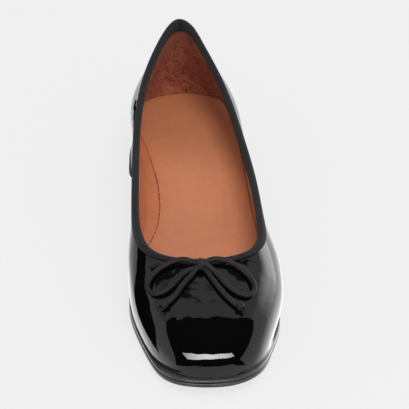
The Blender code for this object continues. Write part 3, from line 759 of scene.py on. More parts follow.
class Finish:
    """A Principled material that is built up from procedural nodes."""

    def __init__(self, name, colour, roughness, **sockets):
        self.material = bpy.data.materials.new(name)
        self.material.use_nodes = True
        self.tree = self.material.node_tree
        self.shader = self.tree.nodes["Principled BSDF"]
        self.shader.inputs["Base Color"].default_value = (*colour, 1.0)
        self.shader.inputs["Roughness"].default_value = roughness
        for key, value in sockets.items():
            socket = key.replace("_", " ").title().replace("Ior", "IOR")
            self.shader.inputs[socket].default_value = value
        self.place = self.node("ShaderNodeTexCoord").outputs["Object"]

    def feed(self, socket, value):
        """Links an output to a socket, or sets the socket's own value."""
        if isinstance(value, bpy.types.NodeSocket):
            self.tree.links.new(value, socket)
        else:
            socket.default_value = value

    def node(self, kind, settings=None, **inputs):
        """Adds a node. inputs: values or the outputs that feed it, by socket name or by number as _0."""
        made = self.tree.nodes.new(kind)
        for key, value in (settings or {}).items():
            setattr(made, key, value)
        for key, value in inputs.items():
            self.feed(made.inputs[int(key[1:])] if key.startswith("_") else made.inputs[key], value)
        return made

    def noise(self, scale, detail=4.0, roughness=0.55, place=None):
        """The value of a noise pattern, with its scale in waves a metre."""
        node = self.node("ShaderNodeTexNoise", None, Scale=scale, Detail=detail, Roughness=roughness)
        self.tree.links.new(place or self.place, node.inputs["Vector"])
        return node.outputs["Fac"]

    def cells(self, scale, place=None):
        """Distance to the middle of the nearest cell of a cell pattern."""
        node = self.node("ShaderNodeTexVoronoi", None, Scale=scale)
        self.tree.links.new(place or self.place, node.inputs["Vector"])
        return node.outputs["Distance"]

    def math(self, operation, first, second=0.0):
        """One sum."""
        return self.node("ShaderNodeMath", {"operation": operation}, _0=first, _1=second).outputs[0]

    def between(self, value, low, high, out_low=0.0, out_high=1.0):
        """Maps low to out_low and high to out_high, and holds what lies beyond."""
        node = self.node("ShaderNodeMapRange", {"clamp": True})
        for number, part in enumerate((value, low, high, out_low, out_high)):
            self.feed(node.inputs[number], part)
        return node.outputs[0]

    def blend(self, share, first, second):
        """Mixes two colours."""
        node = self.node("ShaderNodeMix", {"data_type": "RGBA"})
        self.tree.links.new(share, node.inputs["Factor"])
        for number, part in ((6, first), (7, second)):
            linked = isinstance(part, bpy.types.NodeSocket)
            self.feed(node.inputs[number], part if linked else (*part, 1.0))
        return node.outputs[2]

    def colour(self, value):
        """Feeds the base colour."""
        self.tree.links.new(value, self.shader.inputs["Base Color"])

    def rough(self, value):
        """Feeds the roughness."""
        self.tree.links.new(value, self.shader.inputs["Roughness"])

    def glow(self, value):
        """Feeds the light that the surface gives off."""
        self.shader.inputs["Emission Color"].default_value = (1.0, 1.0, 1.0, 1.0)
        self.tree.links.new(value, self.shader.inputs["Emission Strength"])

    def across_oval(self, x, y, middle, halves):
        """0 in the middle of an oval and 1 on its rim."""
        squares = []
        for value, centre, half in zip((x, y), middle, halves):
            away = self.math("MULTIPLY", self.math("SUBTRACT", value, centre), 1 / half)
            squares.append(self.math("POWER", away, 2.0))
        return self.math("ADD", *squares)

    def mix(self, first, share, second):
        """The first value by its share and the second by the rest."""
        rest = self.math("MULTIPLY", second, 1 - share)
        return self.math("ADD", self.math("MULTIPLY", first, share), rest)

    def shades(self, value, colour, darkest, lightest):
        """Lets the base colour run from one share of a colour to another."""
        self.colour(self.blend(value, darker(colour, darkest), darker(colour, lightest)))

    def bump(self, *layers, coat=False):
        """Bumps of (height, depth in metres), each on top of the one before."""
        normal = None
        for height, depth in layers:
            node = self.node("ShaderNodeBump", None, Height=height, Distance=depth, Strength=1.0)
            if normal:
                self.tree.links.new(normal, node.inputs["Normal"])
            normal = node.outputs["Normal"]
        self.tree.links.new(normal, self.shader.inputs["Normal"])
        if coat:
            self.tree.links.new(normal, self.shader.inputs["Coat Normal"])

    def texture_place(self):
        """The piece's own texture coordinates, in metres round it and across it."""
        split = self.node("ShaderNodeSeparateXYZ", None, Vector=self.node("ShaderNodeUVMap").outputs["UV"])
        return split.outputs["X"], split.outputs["Y"]


def darker(colour, share):
    """The colour times a share."""
    return tuple(part * share for part in colour)


def patent_finish(colours):
    """Black patent leather: a clear gloss coat over smooth leather, with a slight ripple."""
    made = Finish("patent_leather", colours.patent, 0.35, specular_ior_level=0.0, coat_weight=1.0,
                  coat_roughness=0.012, coat_ior=1.5)
    wide = made.noise(scale=260.0, detail=2.0, roughness=0.5)
    fine = made.noise(scale=1400.0, detail=3.0, roughness=0.5)
    made.bump((wide, 0.000009), (fine, 0.0000012), coat=True)
    made.rough(made.between(made.noise(scale=420.0, detail=3.0), 0.35, 0.7, 0.30, 0.42))
    return made.material


def tape_finish(colours, rib):
    """Black grosgrain: raised ribs across the tape, crossed by fine threads, with painted shade between ribs.
    """
    made = Finish("grosgrain_tape", colours.tape, 0.78, sheen_weight=0.08, sheen_roughness=0.5,
                  specular_ior_level=0.12)
    along, across = made.texture_place()
    ribs = made.math("ABSOLUTE", made.math("SINE", made.math("MULTIPLY", along, math.pi / rib)))
    threads = made.math("SINE", made.math("MULTIPLY", across, 2 * math.pi / (rib * THREAD_SHARE)))
    lint = made.noise(scale=5200.0, detail=3.0)
    join = made.between(along, TAPE_JOIN / 2, TAPE_JOIN)
    weave = [(ribs, rib * RIB_DEPTH), (threads, rib * THREAD_DEPTH), (lint, rib * LINT_DEPTH)]
    made.bump(*weave, (join, TAPE_JOIN / 2))
    # Painted shade: the colour is darker in the troughs between the ribs and lighter on their crests, with a
    # random tone from the lint, and darker in the join's groove.
    made.shades(made.math("MULTIPLY", made.mix(ribs, 0.65, lint), join), colours.tape, *TAPE_SHADES)
    return made.material


def cord_finish(colours):
    """Black braided cord with a soft sheen and loose fibres."""
    made = Finish("bow_cord", colours.cord, 0.62, sheen_weight=0.045, sheen_roughness=0.45,
                  specular_ior_level=0.20)
    lint = made.noise(scale=6500.0, detail=4.0)
    made.bump((lint, 0.00006))
    made.shades(made.between(lint, 0.3, 0.7), colours.cord, *CORD_SHADES)
    return made.material


def leather_finish(name, colour, roughness, grain, mottle):
    """Smooth lining leather: fine pores, a faint mottle and a satin surface."""
    made = Finish(name, colour, roughness, specular_ior_level=0.42, sheen_weight=0.06)
    pores = made.cells(2600.0)
    hide = made.noise(scale=240.0, detail=4.0)
    cloud = made.noise(scale=38.0, detail=3.0)
    made.bump((pores, grain), (hide, grain * 1.6))
    cloudy = made.between(made.mix(cloud, 0.6, hide), 0.36, 0.64)
    made.shades(cloudy, colour, 1.0 - mottle, 1.0 + mottle)
    made.rough(made.between(hide, 0.3, 0.7, roughness - 0.05, roughness + 0.06))
    return made.material


def lining_finish(name, colours):
    """The leather of the wall's lining and of the insole."""
    return leather_finish(name, tuple(colours.lining), roughness=0.50, grain=0.00004, mottle=0.10)


def suede_finish(colours):
    """Red-brown suede with a brushed, mottled nap and the tape's painted shadow towards the collar."""
    made = Finish("heel_suede", colours.suede, 0.92, specular_ior_level=0.10, sheen_weight=0.45,
                  sheen_roughness=0.55)
    made.shader.inputs["Sheen Tint"].default_value = (0.75, 0.35, 0.22, 1.0)
    curled = {"Scale": 430.0, "Detail": 5.0, "Roughness": 0.65, "Distortion": 1.4}
    nap = made.node("ShaderNodeTexNoise", None, Vector=made.place, **curled).outputs["Fac"]
    brushed = made.noise(scale=150.0, detail=5.0, roughness=0.65)
    fibres = made.noise(scale=5200.0, detail=3.0)
    mixed = made.mix(nap, 0.7, brushed)
    # Painted shadow of the tape: towards the collar the colour runs to the dark nap colour.
    height = made.node("ShaderNodeSeparateXYZ", None, Vector=made.place).outputs["Z"]
    high = made.between(height, *COLLAR_SHADOW_HEIGHTS, 1.0, COLLAR_SHADOW_SHARE)
    light = made.math("MULTIPLY", made.between(mixed, 0.40, 0.60), high)
    made.colour(made.blend(light, colours.suede_dark, darker(colours.suede, SUEDE_LIGHT)))
    made.bump((nap, 0.00034), (fibres, 0.00007))
    return made.material


def edge_finish(name, colour, roughness, coat):
    """A dressed or lacquered edge: even black with brushed traces of its finish."""
    made = Finish(name, colour, roughness, specular_ior_level=0.1, coat_weight=coat, coat_roughness=0.10)
    traces = made.noise(scale=320.0, detail=4.0)
    fine = made.noise(scale=2600.0, detail=3.0)
    made.bump((traces, 0.000006), (fine, 0.000001), coat=True)
    made.rough(made.between(traces, 0.3, 0.7, roughness - 0.06, roughness + 0.10))
    return made.material


def rubber_finish(colours):
    """Black rubber with a fine pebbled grain."""
    made = Finish("outsole_rubber", colours.rubber, 0.62, specular_ior_level=0.20, coat_weight=0.6,
                  coat_roughness=0.18)
    pebbles = made.cells(1500.0)
    dust = made.noise(scale=90.0, detail=4.0)
    made.bump((pebbles, 0.00010))
    made.shades(made.between(dust, 0.35, 0.7), colours.rubber, *RUBBER_SHADES)
    made.rough(made.between(dust, 0.3, 0.7, 0.55, 0.72))
    return made.material


def thread_finish(colours):
    """Dark waxed thread."""
    made = Finish("sock_thread", colours.thread, 0.7, specular_ior_level=0.3)
    made.bump((made.noise(scale=4200.0, detail=3.0), 0.00005))
    return made.material


def bow_places(shares):
    """Places of the bow's tables in (along, across, up)."""
    along, across, up = np.array(shares, float).reshape(-1, 3).T
    along = along * SOLE_LENGTH
    return np.column_stack([along, across * BALL_WIDTH / 2, feather_height(along) + up * BACK_HEIGHT])


def smooth_route(points, spacing):
    """A Catmull-Rom curve through the points, with points at about this spacing."""
    points = np.asarray(points, float)
    padded = np.vstack([2 * points[0] - points[1], points, 2 * points[-1] - points[-2]])
    share = (np.arange(ROUTE_STEPS) / ROUTE_STEPS)[:, None]
    fine = [
        0.5
        * (
            2 * start
            + (end - before) * share
            + (2 * before - 5 * start + 4 * end - after) * share**2
            + (3 * start - before - 3 * end + after) * share**3
        )
        for before, start, end, after in zip(padded, padded[1:], padded[2:], padded[3:])
    ]
    fine = np.vstack([*fine, points[-1:]])
    length = path_lengths(fine)
    wanted = np.linspace(0.0, length[-1], max(2, round(length[-1] / spacing) + 1))
    return np.stack([np.interp(wanted, length, fine[:, k]) for k in range(3)], 1)


def path_frames(path):
    """Two unit vectors across a path at each of its points, carried along without twisting."""
    tangent = np.gradient(path, axis=0)
    tangent /= np.linalg.norm(tangent, axis=1, keepdims=True)
    side = np.cross(tangent[0], (0.0, 0.0, 1.0))
    sides = []
    for direction in tangent:
        side = side - direction * (side @ direction)
        side /= np.linalg.norm(side)
        sides.append(side)
    sides = np.array(sides)
    return sides, np.cross(tangent, sides)


def tube_rings(path, reach, angle):
    """Rings round a path, with points at these angles and at the distances of reach from it."""
    side, over = path_frames(path)
    return (
        path[:, None]
        + (reach * np.cos(angle))[..., None] * side[:, None]
        + (reach * np.sin(angle))[..., None] * over[:, None]
    )


def add_tube(points, faces, path, reach, sides):
    """Adds a closed tube to lists of points and faces. reach is its radius at each point of the path."""
    angle = np.arange(sides) * 2 * math.pi / sides
    first = len(points)
    points += tube_rings(path, np.reshape(reach, (-1, 1)), angle).reshape(-1, 3).tolist()
    faces += (grid_faces(len(path), sides, False, True)[0] + first).tolist()
    faces += [list(range(end, end + sides)) for end in (first, len(points) - sides)]


def braided_tube(name, path, radius, around=32, strands=4, pitch=0.0052, relief=0.055):
    """A round braid along a path: strands wind both ways and pass over and under each other."""
    angle = np.arange(around) * 2 * math.pi / around
    wind = path_lengths(path)[:, None] * 2 * math.pi / pitch
    left = strands * (angle + wind / strands * 2)
    right = strands * (angle - wind / strands * 2)
    above = 0.5 + 0.5 * np.cos((left + right) / 2) * np.cos((left - right) / 2)
    height = above * np.abs(np.cos(left / 2)) + (1 - above) * np.abs(np.cos(right / 2))
    end = path_lengths(path)
    close = np.clip(np.minimum(end, end[-1] - end) / radius, 0.0, 1.0)
    taper = np.sqrt(1 - (1 - close) ** 2 * BRAID_TAPER)[:, None]
    reach = radius * (1 + relief * (height - 0.5) * 2) * taper
    return lofted(name, tube_rings(path, reach, angle), caps=True)


def wound(centre, axis, radius, width, turns, start=0.0):
    """A helix round an axis, as points."""
    axis = np.array(axis, float) / np.linalg.norm(axis)
    first = np.cross(axis, (0.0, 0.0, 1.0))
    first /= np.linalg.norm(first)
    second = np.cross(axis, first)
    share = np.linspace(0.0, 1.0, int(turns * WINDING_STEPS))[:, None]
    angle = start + share * turns * 2 * math.pi
    spoke = first * np.cos(angle) + second * np.sin(angle)
    return centre + axis * (share - 0.5) * width + spoke * radius


def frayed_tip(name, place, direction, cord, seed, finish):
    """The cut end of the cord: fine fibres that fan out beyond the end knot."""
    random = np.random.default_rng(seed)
    direction = direction / np.linalg.norm(direction)
    points, faces = [], []
    for _ in range(TIP_FIBRES):
        spread = random.normal(0.0, 1.0, 3)
        spread -= direction * (spread @ direction)
        root = place + spread * cord * FIBRE_SPREAD
        heading = direction + spread * FIBRE_FAN
        length = cord * random.uniform(*FIBRE_LENGTH)
        droop = np.array([0.0, 0.0, -FIBRE_DROOP * length])
        path = np.array([root, root + heading * length * 0.5, root + heading * length + droop])
        add_tube(points, faces, path, FIBRE_RADII, FIBRE_SIDES)
    return add_piece(name, solid_mesh(name, np.array(points), faces), finish)


def make_knot(name, stands_for, centre, axis, winding, cord, finish):
    """A knot as a braid that is wound round an axis."""
    path = wound(centre, axis, cord * winding.radius, cord * winding.width, winding.turns, winding.start)
    mesh = braided_tube(name, path, cord * winding.cord, around=winding.sides, strands=KNOT_STRANDS)
    return add_piece(name, mesh, finish, (stands_for,))


def make_end_knot(name, stands_for, route, cord, finish):
    """The small overhand knot in which a strand ends, and where and which way its fibres start."""
    axis = route[-1] - route[-END_POINTS]
    axis /= np.linalg.norm(axis)
    middle = route[-1] + axis * cord * END_REACH + np.array([0.0, 0.0, cord * END_LIFT])
    upwards = axis + (0.0, 0.0, END_UPWARDS)
    knot = make_knot(name, stands_for, middle, upwards, END_WINDING, cord, finish)
    return knot, middle + axis * cord * END_FIBRES_FROM, axis


def make_bow(context):
    """The bow: two strands that loop and cross in the knot, the knot's turns, end knots and frayed tips."""
    cord = context.scene.shoe_sizes.cord
    finish = cord_finish(context.scene.shoe_colours)
    centre = to_frame(bow_places(KNOT_PLACE)[0])
    turn = Matrix.Rotation(KNOT_TILT, 3, "X")
    axis = np.array(turn @ Vector(KNOT_AXIS))
    knot = make_knot("bow_knot_turns", "bow_knot", centre, axis, KNOT_WINDING, cord, finish)
    strands = (("inner", "outer", STRAND_FROM_INNER, 11), ("outer", "inner", STRAND_FROM_OUTER, 12))
    for loop, end, route, seed in strands:
        name = f"bow_strand_{loop}_loop"
        path = to_frame(smooth_route(bow_places(route), STRAND_SPACING))
        mesh = braided_tube(name, path, cord / 2)
        strand = add_piece(name, mesh, finish, (f"bow_loop_{loop}", f"bow_end_{end}"))
        end_knot, tip, heading = make_end_knot(f"bow_end_knot_{end}", f"bow_tip_{end}", path, cord, finish)
        fibres = frayed_tip(f"bow_frayed_tip_{end}", tip, heading, cord, seed, finish)


def crease_heights(surface):
    """How far each point of the outer face moves out for the listed creases and the ripple."""
    along = surface[..., 0] / SOLE_LENGTH
    across = surface[..., 1] / (BALL_WIDTH / 2)
    moved = np.zeros(surface.shape[:2])
    for crease in CREASES:
        turn = math.radians(crease.turn)
        forward = (along - crease.along) * SOLE_LENGTH
        aside = (across - crease.across) * BALL_WIDTH / 2
        lengthwise = aside * math.cos(turn) + forward * math.sin(turn)
        crosswise = forward * math.cos(turn) - aside * math.sin(turn)
        fade = np.exp(-((lengthwise / (crease.length / 2)) ** 2))
        moved -= crease.depth * fade * np.exp(-((crosswise / crease.width) ** 2))
    wave = 2 * math.pi / RIPPLE_LENGTH
    x, y = surface[..., 0] * wave, surface[..., 1] * wave
    (bend, pace), (cross_bend, cross_pace) = RIPPLE_BEND, RIPPLE_CROSS_BEND
    ripple = np.sin(x + bend * np.sin(y * pace))
    ripple += np.sin(y * RIPPLE_CROSS + cross_bend * np.sin(x * cross_pace + 1.0))
    return moved + RIPPLE_DEPTH * ripple


def upper_depths():
    """Depths of the upper's rows: even down the wall, and close together in the roll at the feather edge."""
    roll = FOOT_HEIGHT * ROLL_SHARE
    rows = [share * (WALL_DEPTH - roll) for share in np.linspace(0.0, 1.0, SHELL_ROWS)[:-1]]
    rows += [WALL_DEPTH - roll * (1 - share) for share in np.linspace(0.0, 1.0, ROLL_ROWS)]
    return rows


def make_upper(context):
    """The patent shell, open at the collar and underneath, with its creases."""
    thickness = context.scene.shoe_sizes.patent
    outside, facing = rings_at(WALL_SURFACE, WALL_NORMAL, upper_depths())
    inside = outside - facing * thickness
    inside[-1, :, 2] = outside[-1, :, 2]
    creased = outside + facing * crease_heights(outside)[..., None]
    rings = np.concatenate([creased, inside[::-1]])
    mesh = lofted("upper_patent", to_frame(rings), closed_profile=True, sharp=SHARP_SHELL)
    finish = patent_finish(context.scene.shoe_colours)
    add_piece("upper_patent", mesh, finish, ("upper",))


def make_binding(context):
    """The grosgrain tape folded over the collar: a padded roll with soft lower edges."""
    sizes = context.scene.shoe_sizes
    outer, inner = GAP, -WALL - GAP
    middle, half = (outer + inner) / 2, (outer - inner) / 2
    leg_shares = np.linspace(1.0, 0.0, LEG_STEPS)
    deeper = TAPE_BACK_EXTRA * np.exp(-((from_heel_back() / TAPE_BACK_REACH) ** 2))
    inner_leg = sizes.tape_inner_leg + deeper
    depths = list(leg_shares * sizes.tape_leg) + [share * inner_leg for share in leg_shares]
    legs, facing = rings_at(WALL_SURFACE, WALL_NORMAL, depths)
    outer_legs, outer_facing = legs[:LEG_STEPS], facing[:LEG_STEPS]
    inner_legs, inner_facing = legs[: LEG_STEPS - 1 : -1], facing[: LEG_STEPS - 1 : -1]
    edge, across = outer_legs[-1], outer_facing[-1]
    rise = edge - outer_legs[-2]
    rise /= np.linalg.norm(rise, axis=1, keepdims=True)
    rings = [outer_legs[0] + outer_facing[0] * outer]
    for row, share in enumerate(leg_shares[:-1]):
        risen = min(1.0, (1.0 - share) * TAPE_GAIN_PACE + TAPE_GAIN_START)
        puff = sizes.tape * (TAPE_EDGE + TAPE_GAIN * math.sin(math.pi * risen / 2))
        rings.append(outer_legs[row] + outer_facing[row] * (outer + puff))
    for angle in np.radians(np.linspace(*CROWN_SPAN, CROWN_STEPS)):
        aside = middle + (half + sizes.tape) * math.cos(angle)
        rings.append(edge + across * aside + rise * (GAP + sizes.tape_crown * math.sin(angle)))
    for row, share in enumerate(leg_shares[-2::-1]):
        depth = inner - sizes.tape * (1.0 - TAPE_THIN * share)
        rings.append(inner_legs[row + 1] + inner_facing[row + 1] * depth)
    rings.append(inner_legs[-1] + inner_facing[-1] * inner)
    rings.append(inner_legs[0] + inner_facing[0] * inner + rise * GAP)
    rings.append(edge + across * outer + rise * GAP)
    mesh = lofted("binding_tape", to_frame(rings), closed_profile=True, sharp=SHARP_EDGE)
    finish = tape_finish(context.scene.shoe_colours, sizes.rib)
    add_piece("binding_tape", mesh, finish, ("binding",))


def heel_swell():
    """How far the heel lining swells in at its lower edge, for each column of the wall."""
    return HEEL_SWELL * np.exp(-((from_heel_back() / HEEL_SWELL_REACH) ** 2))


def inner_shell(name, columns, near, far, top, finish, wrap, swell=0.0):
    """A layer on the wall's inner face, between two depths into the wall, from top down to the insole."""
    surface, normal = WALL_SURFACE[:, columns], WALL_NORMAL[:, columns]
    full = WALL_DEPTH[columns]
    rows = [top + share * (full - top - GAP) for share in np.linspace(0.0, 1.0, LINING_ROWS)]
    rings, facing = rings_at(surface, normal, rows)
    above = np.maximum(rings[:, :, 2] - feather_height(rings[:, :, 0]) - INSOLE_THICKNESS, 0.0)
    front = rings - facing * near
    back = rings - facing * (far + swell * np.exp(-((above / HEEL_SWELL_HEIGHT) ** 2)))[:, :, None]
    low = feather_height(rings[-1, :, 0]) + GAP
    for layer in (front, back):
        layer[:, :, 2] = np.maximum(layer[:, :, 2], low)
    both = np.concatenate([front, back[::-1]])
    mesh = lofted(name, to_frame(both), closed_profile=True, wrap=wrap, sharp=SHARP_SHELL)
    if not wrap:
        close_ends(mesh, len(both))
    return add_piece(name, mesh, finish)


def close_ends(mesh, sides):
    """Closes the two open ends of a strip whose cross-section is a closed ring with this many sides."""
    shape = bmesh.new()
    shape.from_mesh(mesh)
    borders = [edge for edge in shape.edges if edge.is_boundary]
    bmesh.ops.holes_fill(shape, edges=borders, sides=sides + 1)
    bmesh.ops.recalc_face_normals(shape, faces=shape.faces)
    shape.to_mesh(mesh)
    shape.free()


def make_lining(context):
    """The leather lining of the wall and the suede at the heel."""
    sizes, colours = context.scene.shoe_sizes, context.scene.shoe_colours
    leather = lining_finish("lining_leather", colours)
    everywhere = np.arange(WALL_SURFACE.shape[1])
    near, far = sizes.patent + LINING_CLEAR, sizes.patent + sizes.lining
    inner_shell("side_lining", everywhere, near, far, SIDE_LINING_TOP, leather, True)
    suede = suede_finish(colours)
    columns = heel_columns()
    deep, swell = far + sizes.heel_lining, heel_swell()[columns]
    inner_shell("heel_lining", columns, far, deep, HEEL_LINING_TOP, suede, False, swell)


def level_outline(line):
    """A closed line round the shoe as points in level pairs. Later columns hold other values along it."""
    line = np.roll(line, -np.argmin(line[:, 0]), axis=0)
    toe = np.argmax(line[:, 0])
    outer, inner = line[: toe + 1], np.concatenate([line[toe:], line[:1]])[::-1]
    turn = np.linspace(0.0, math.pi, SOLE_STATIONS + 1)
    stations = line[0, 0] + (line[toe, 0] - line[0, 0]) * (1 - np.cos(turn)) / 2
    sides = []
    for side in (outer, inner):
        side = side[np.argsort(side[:, 0], kind="stable")]
        columns = [np.interp(stations, side[:, 0], side[:, k]) for k in range(1, line.shape[1])]
        sides.append(np.column_stack([stations, *columns]))
    return np.concatenate([sides[0], sides[1][-2:0:-1]])


def sole_outline():
    """The feather line in level pairs, with the share of the sole's lip and its trim at each point."""
    ring, plan, _ = wall_sections()
    line = level_outline(np.column_stack([plan, ring.lip, edge_trims()[2]]))
    return line[:, :2], line[:, 2], line[:, 3]


SOLE_PLAN, SOLE_LIP, SOLE_TRIM = sole_outline()


def inner_outline(height, depth):
    """The line in level pairs where the wall, at this depth into it, is this high over the feather edge."""
    inside = WALL_SURFACE - WALL_NORMAL * np.reshape(depth, (1, -1, 1))
    above = inside[:, :, 2] - feather_height(inside[:, :, 0])
    line = [
        [np.interp(height, above[::-1, k], inside[::-1, k, axis]) for axis in (0, 1)]
        for k in range(inside.shape[1])
    ]
    return level_outline(np.array(line))


def heel_columns():
    """The wall's columns that the heel lining covers."""
    start, end = (round(section * STEPS) for section in HEEL_LINING_SPAN)
    return np.arange(start, end + 1) % WALL_SURFACE.shape[1]


def lining_depth(sizes, clear):
    """How deep in the wall each column's innermost lining ends, with a clearance past it."""
    depth = np.full(WALL_SURFACE.shape[1], sizes.patent + sizes.lining + clear)
    columns = heel_columns()
    depth[columns] += sizes.heel_lining + heel_swell()[columns]
    return depth


def ladder_faces(start, count):
    """Faces that run straight across a ring of points in level pairs."""
    faces = []
    for i in range(count // 2):
        corners = [i, i + 1]
        if i + 1 != count - i - 1:
            corners.append(count - i - 1)
        if i:
            corners.append(count - i)
        faces.append([start + k for k in corners])
    return faces


def slab(name, rings, sharp):
    """A solid from rings of level pairs, bottom first, capped straight across at both ends."""
    rings = np.asarray(rings)
    rows, count = rings.shape[:2]
    faces, steps = grid_faces(rows, count, False, True)
    middle = rings[rows // 2]
    round_it = path_lengths(np.vstack([middle, middle[:1]]))
    corners = [np.stack([round_it[steps[..., 1]], steps[..., 0] * TEXTURE_STEP], -1).reshape(-1, 2)]
    faces = faces.tolist()
    points = to_frame(rings).reshape(-1, 3)
    for start in (0, (rows - 1) * count):
        for face in ladder_faces(start, count):
            faces.append(face)
            corners.append(points[face][:, :2])
    return solid_mesh(name, points, faces, np.vstack(corners), sharp)


def outline_ring(plan, grow, height):
    """A ring on the plan outline, moved out by grow, at the height that a function of the distance gives."""
    moved = plan + outward(plan) * np.reshape(grow, (-1, 1))
    return np.column_stack([moved, height(moved[:, 0])])


def edge_rings(plan, lip, bottom, top, soft, crown=1.0):
    """Rings of a layer with both edges rounded by soft, the upper one crown times wider than high."""
    turns = np.radians(np.linspace(0, 90, EDGE_TURNS))
    low, high = [], []
    for inset, raised in zip(soft * (1 - np.sin(turns)), soft * (1 - np.cos(turns))):
        low.append(outline_ring(plan, lip - inset, lambda along: bottom(along) + raised))
        high.append(outline_ring(plan, lip - inset * crown, lambda along: top(along) - raised))
    return low + high[::-1]


def arch_share(plan):
    """1 along the inner side over the arch and 0 elsewhere, for each point of an outline."""
    first, last = SOCK_ARCH_EDGE[0][0] * SOLE_LENGTH, SOCK_ARCH_EDGE[-1][0] * SOLE_LENGTH
    rise = eased((plan[:, 0] - first) / ARCH_FADE) * eased((last - plan[:, 0]) / ARCH_FADE)
    return rise * (plan[:, 1] < 0.0)


def sock_plan(sizes):
    """The sock's outline: the wall's inner face, but for its own cut edge over the arch."""
    plan = inner_outline(INSOLE_THICKNESS, lining_depth(sizes, SOCK_INSET))
    rows = [(along * SOLE_LENGTH, across * BALL_WIDTH / 2, 0.0) for along, across in SOCK_ARCH_EDGE]
    arch = smooth_route(rows, ARCH_SPACING)
    inner = plan[:, 1] < SOCK_INNER_FROM
    over = inner & (plan[:, 0] > arch[0, 0]) & (plan[:, 0] < arch[-1, 0])
    plan[over, 1] = np.maximum(plan[over, 1], np.interp(plan[over, 0], arch[:, 0], arch[:, 1]))
    return plan, arch


def sock_top(along, edge=1.0):
    """Height of the sock's upper face. edge is 1 at its rim, which turns up a little beside the heel."""
    rise = SOCK_BACK_RISE * np.exp(-(((along - SOCK_BACK_PLACE) / SOCK_BACK_LENGTH) ** 2))
    return feather_height(along) + INSOLE_THICKNESS + edge * rise


def make_stitches(arch, finish, length):
    """Uneven dark stitches along the front half of the sock's cut edge over the arch."""
    random = np.random.default_rng(STITCH_SEED)
    line = arch[:, :2] + np.column_stack([np.zeros(len(arch)), np.full(len(arch), STITCH_INSET)])
    reach = path_lengths(line)
    points, faces = [], []
    share = np.linspace(-1.0, 1.0, STITCH_ROWS)
    start = reach[-1] * STITCHES_FROM
    while start < reach[-1] - length:
        run = length * random.uniform(*STITCH_RUN)
        at = start + (share + 1.0) * run / 2
        start += run + length * random.uniform(*STITCH_SPACE)
        along, across = np.interp(at, reach, line[:, 0]), np.interp(at, reach, line[:, 1])
        height = sock_top(along) - share**2 * STITCH_THICKNESS * STITCH_DIP
        thick = STITCH_THICKNESS / 2 * np.sqrt(STITCH_BLUNT - share**2)
        add_tube(points, faces, to_frame(np.column_stack([along, across, height])), thick, STITCH_SIDES)
    add_piece("sock_stitches", solid_mesh("sock_stitches", np.array(points), faces), finish)


def make_insole(context):
    """The lined insole, the tan sock with its cut edge over the arch, and the sock's stitches."""
    sizes, colours = context.scene.shoe_sizes, context.scene.shoe_colours
    step = INSOLE_THICKNESS - sizes.sock
    edge = inner_outline(step, lining_depth(sizes, BOARD_INSET))
    low = inner_outline(GAP, lining_depth(sizes, BOARD_INSET))
    over_arch = arch_share(edge)
    board = [outline_ring(low, 0.0, feather_height)]
    for rise, inset in ARCH_FILLET:
        raised = inner_outline(step + rise, lining_depth(sizes, BOARD_INSET))
        ring = outline_ring(edge + (raised - edge) * over_arch[:, None], -inset, feather_height)
        ring[:, 2] += step + rise * over_arch
        board.append(ring)
    lining = lining_finish("insole_lining", colours)
    mesh = slab("insole_board", board, SHARP_SHELL)
    add_piece("insole_board", mesh, lining, ("insole",))
    plan, arch = sock_plan(sizes)
    soft = sizes.sock * SOCK_SOFT
    rings = edge_rings(plan, 0.0, lambda along: feather_height(along) + step, sock_top, soft)
    for inset, share, rim in SOCK_RINGS:
        rings.append(outline_ring(plan, -inset, lambda along: sock_top(along, rim) + SOCK_CROWN * share))
    tan = leather_finish("sock_leather", tuple(colours.sock), roughness=0.46, grain=0.00003, mottle=0.07)
    add_piece("sock", slab("sock", rings, SHARP_EDGE), tan)
    make_stitches(arch, thread_finish(colours), sizes.stitch)


def make_sole(context):
    """The outsole and the midsole with their dressed edges."""
    colours = context.scene.shoe_colours
    rings = edge_rings(SOLE_PLAN, SOLE_LIP * OUTSOLE_LIP + SOLE_TRIM, sole_lift, outsole_top, EDGE_SOFT)
    mesh = slab("outsole_layer", rings, SHARP_EDGE)
    add_piece("outsole_layer", mesh, rubber_finish(colours), ("outsole",))
    ledge = SOLE_LIP * MIDSOLE_LIP + SOLE_TRIM
    crown = np.clip(ledge / EDGE_SOFT, 1.0, LEDGE_CROWN)
    rings = edge_rings(SOLE_PLAN, ledge, midsole_bottom, midsole_top, EDGE_SOFT, crown)
    dressed = edge_finish("sole_edge", tuple(colours.sole_edge), roughness=0.40, coat=1.0)
    mesh = slab("midsole_layer", rings, SHARP_EDGE)
    add_piece("midsole_layer", mesh, dressed, ("midsole",))


def heel_side(side, spread):
    """One side of the heel up to its breast corner: spread is 0 under the seat and 1 at the floor."""
    side = side[side[:, 0] < HEEL_BREAST - HEEL_CORNER]
    reach = np.abs(side[:, 1])
    wide = np.maximum.accumulate(reach) + HEEL_FLARE * side[:, 0] / HEEL_BREAST
    across = (1 - spread) * reach + spread * wide
    return np.column_stack([side[:, 0], across * np.sign(side[:, 1])])


def breast_corner(side):
    """A quarter round from the side of the heel to its breast."""
    edge = side[-1][1]
    angles = np.radians(np.linspace(0, 90, CORNER_TURNS))
    along = HEEL_BREAST - HEEL_CORNER * (1 - np.sin(angles))
    across = edge - np.sign(edge) * HEEL_CORNER * (1 - np.cos(angles))
    return np.column_stack([along, across])


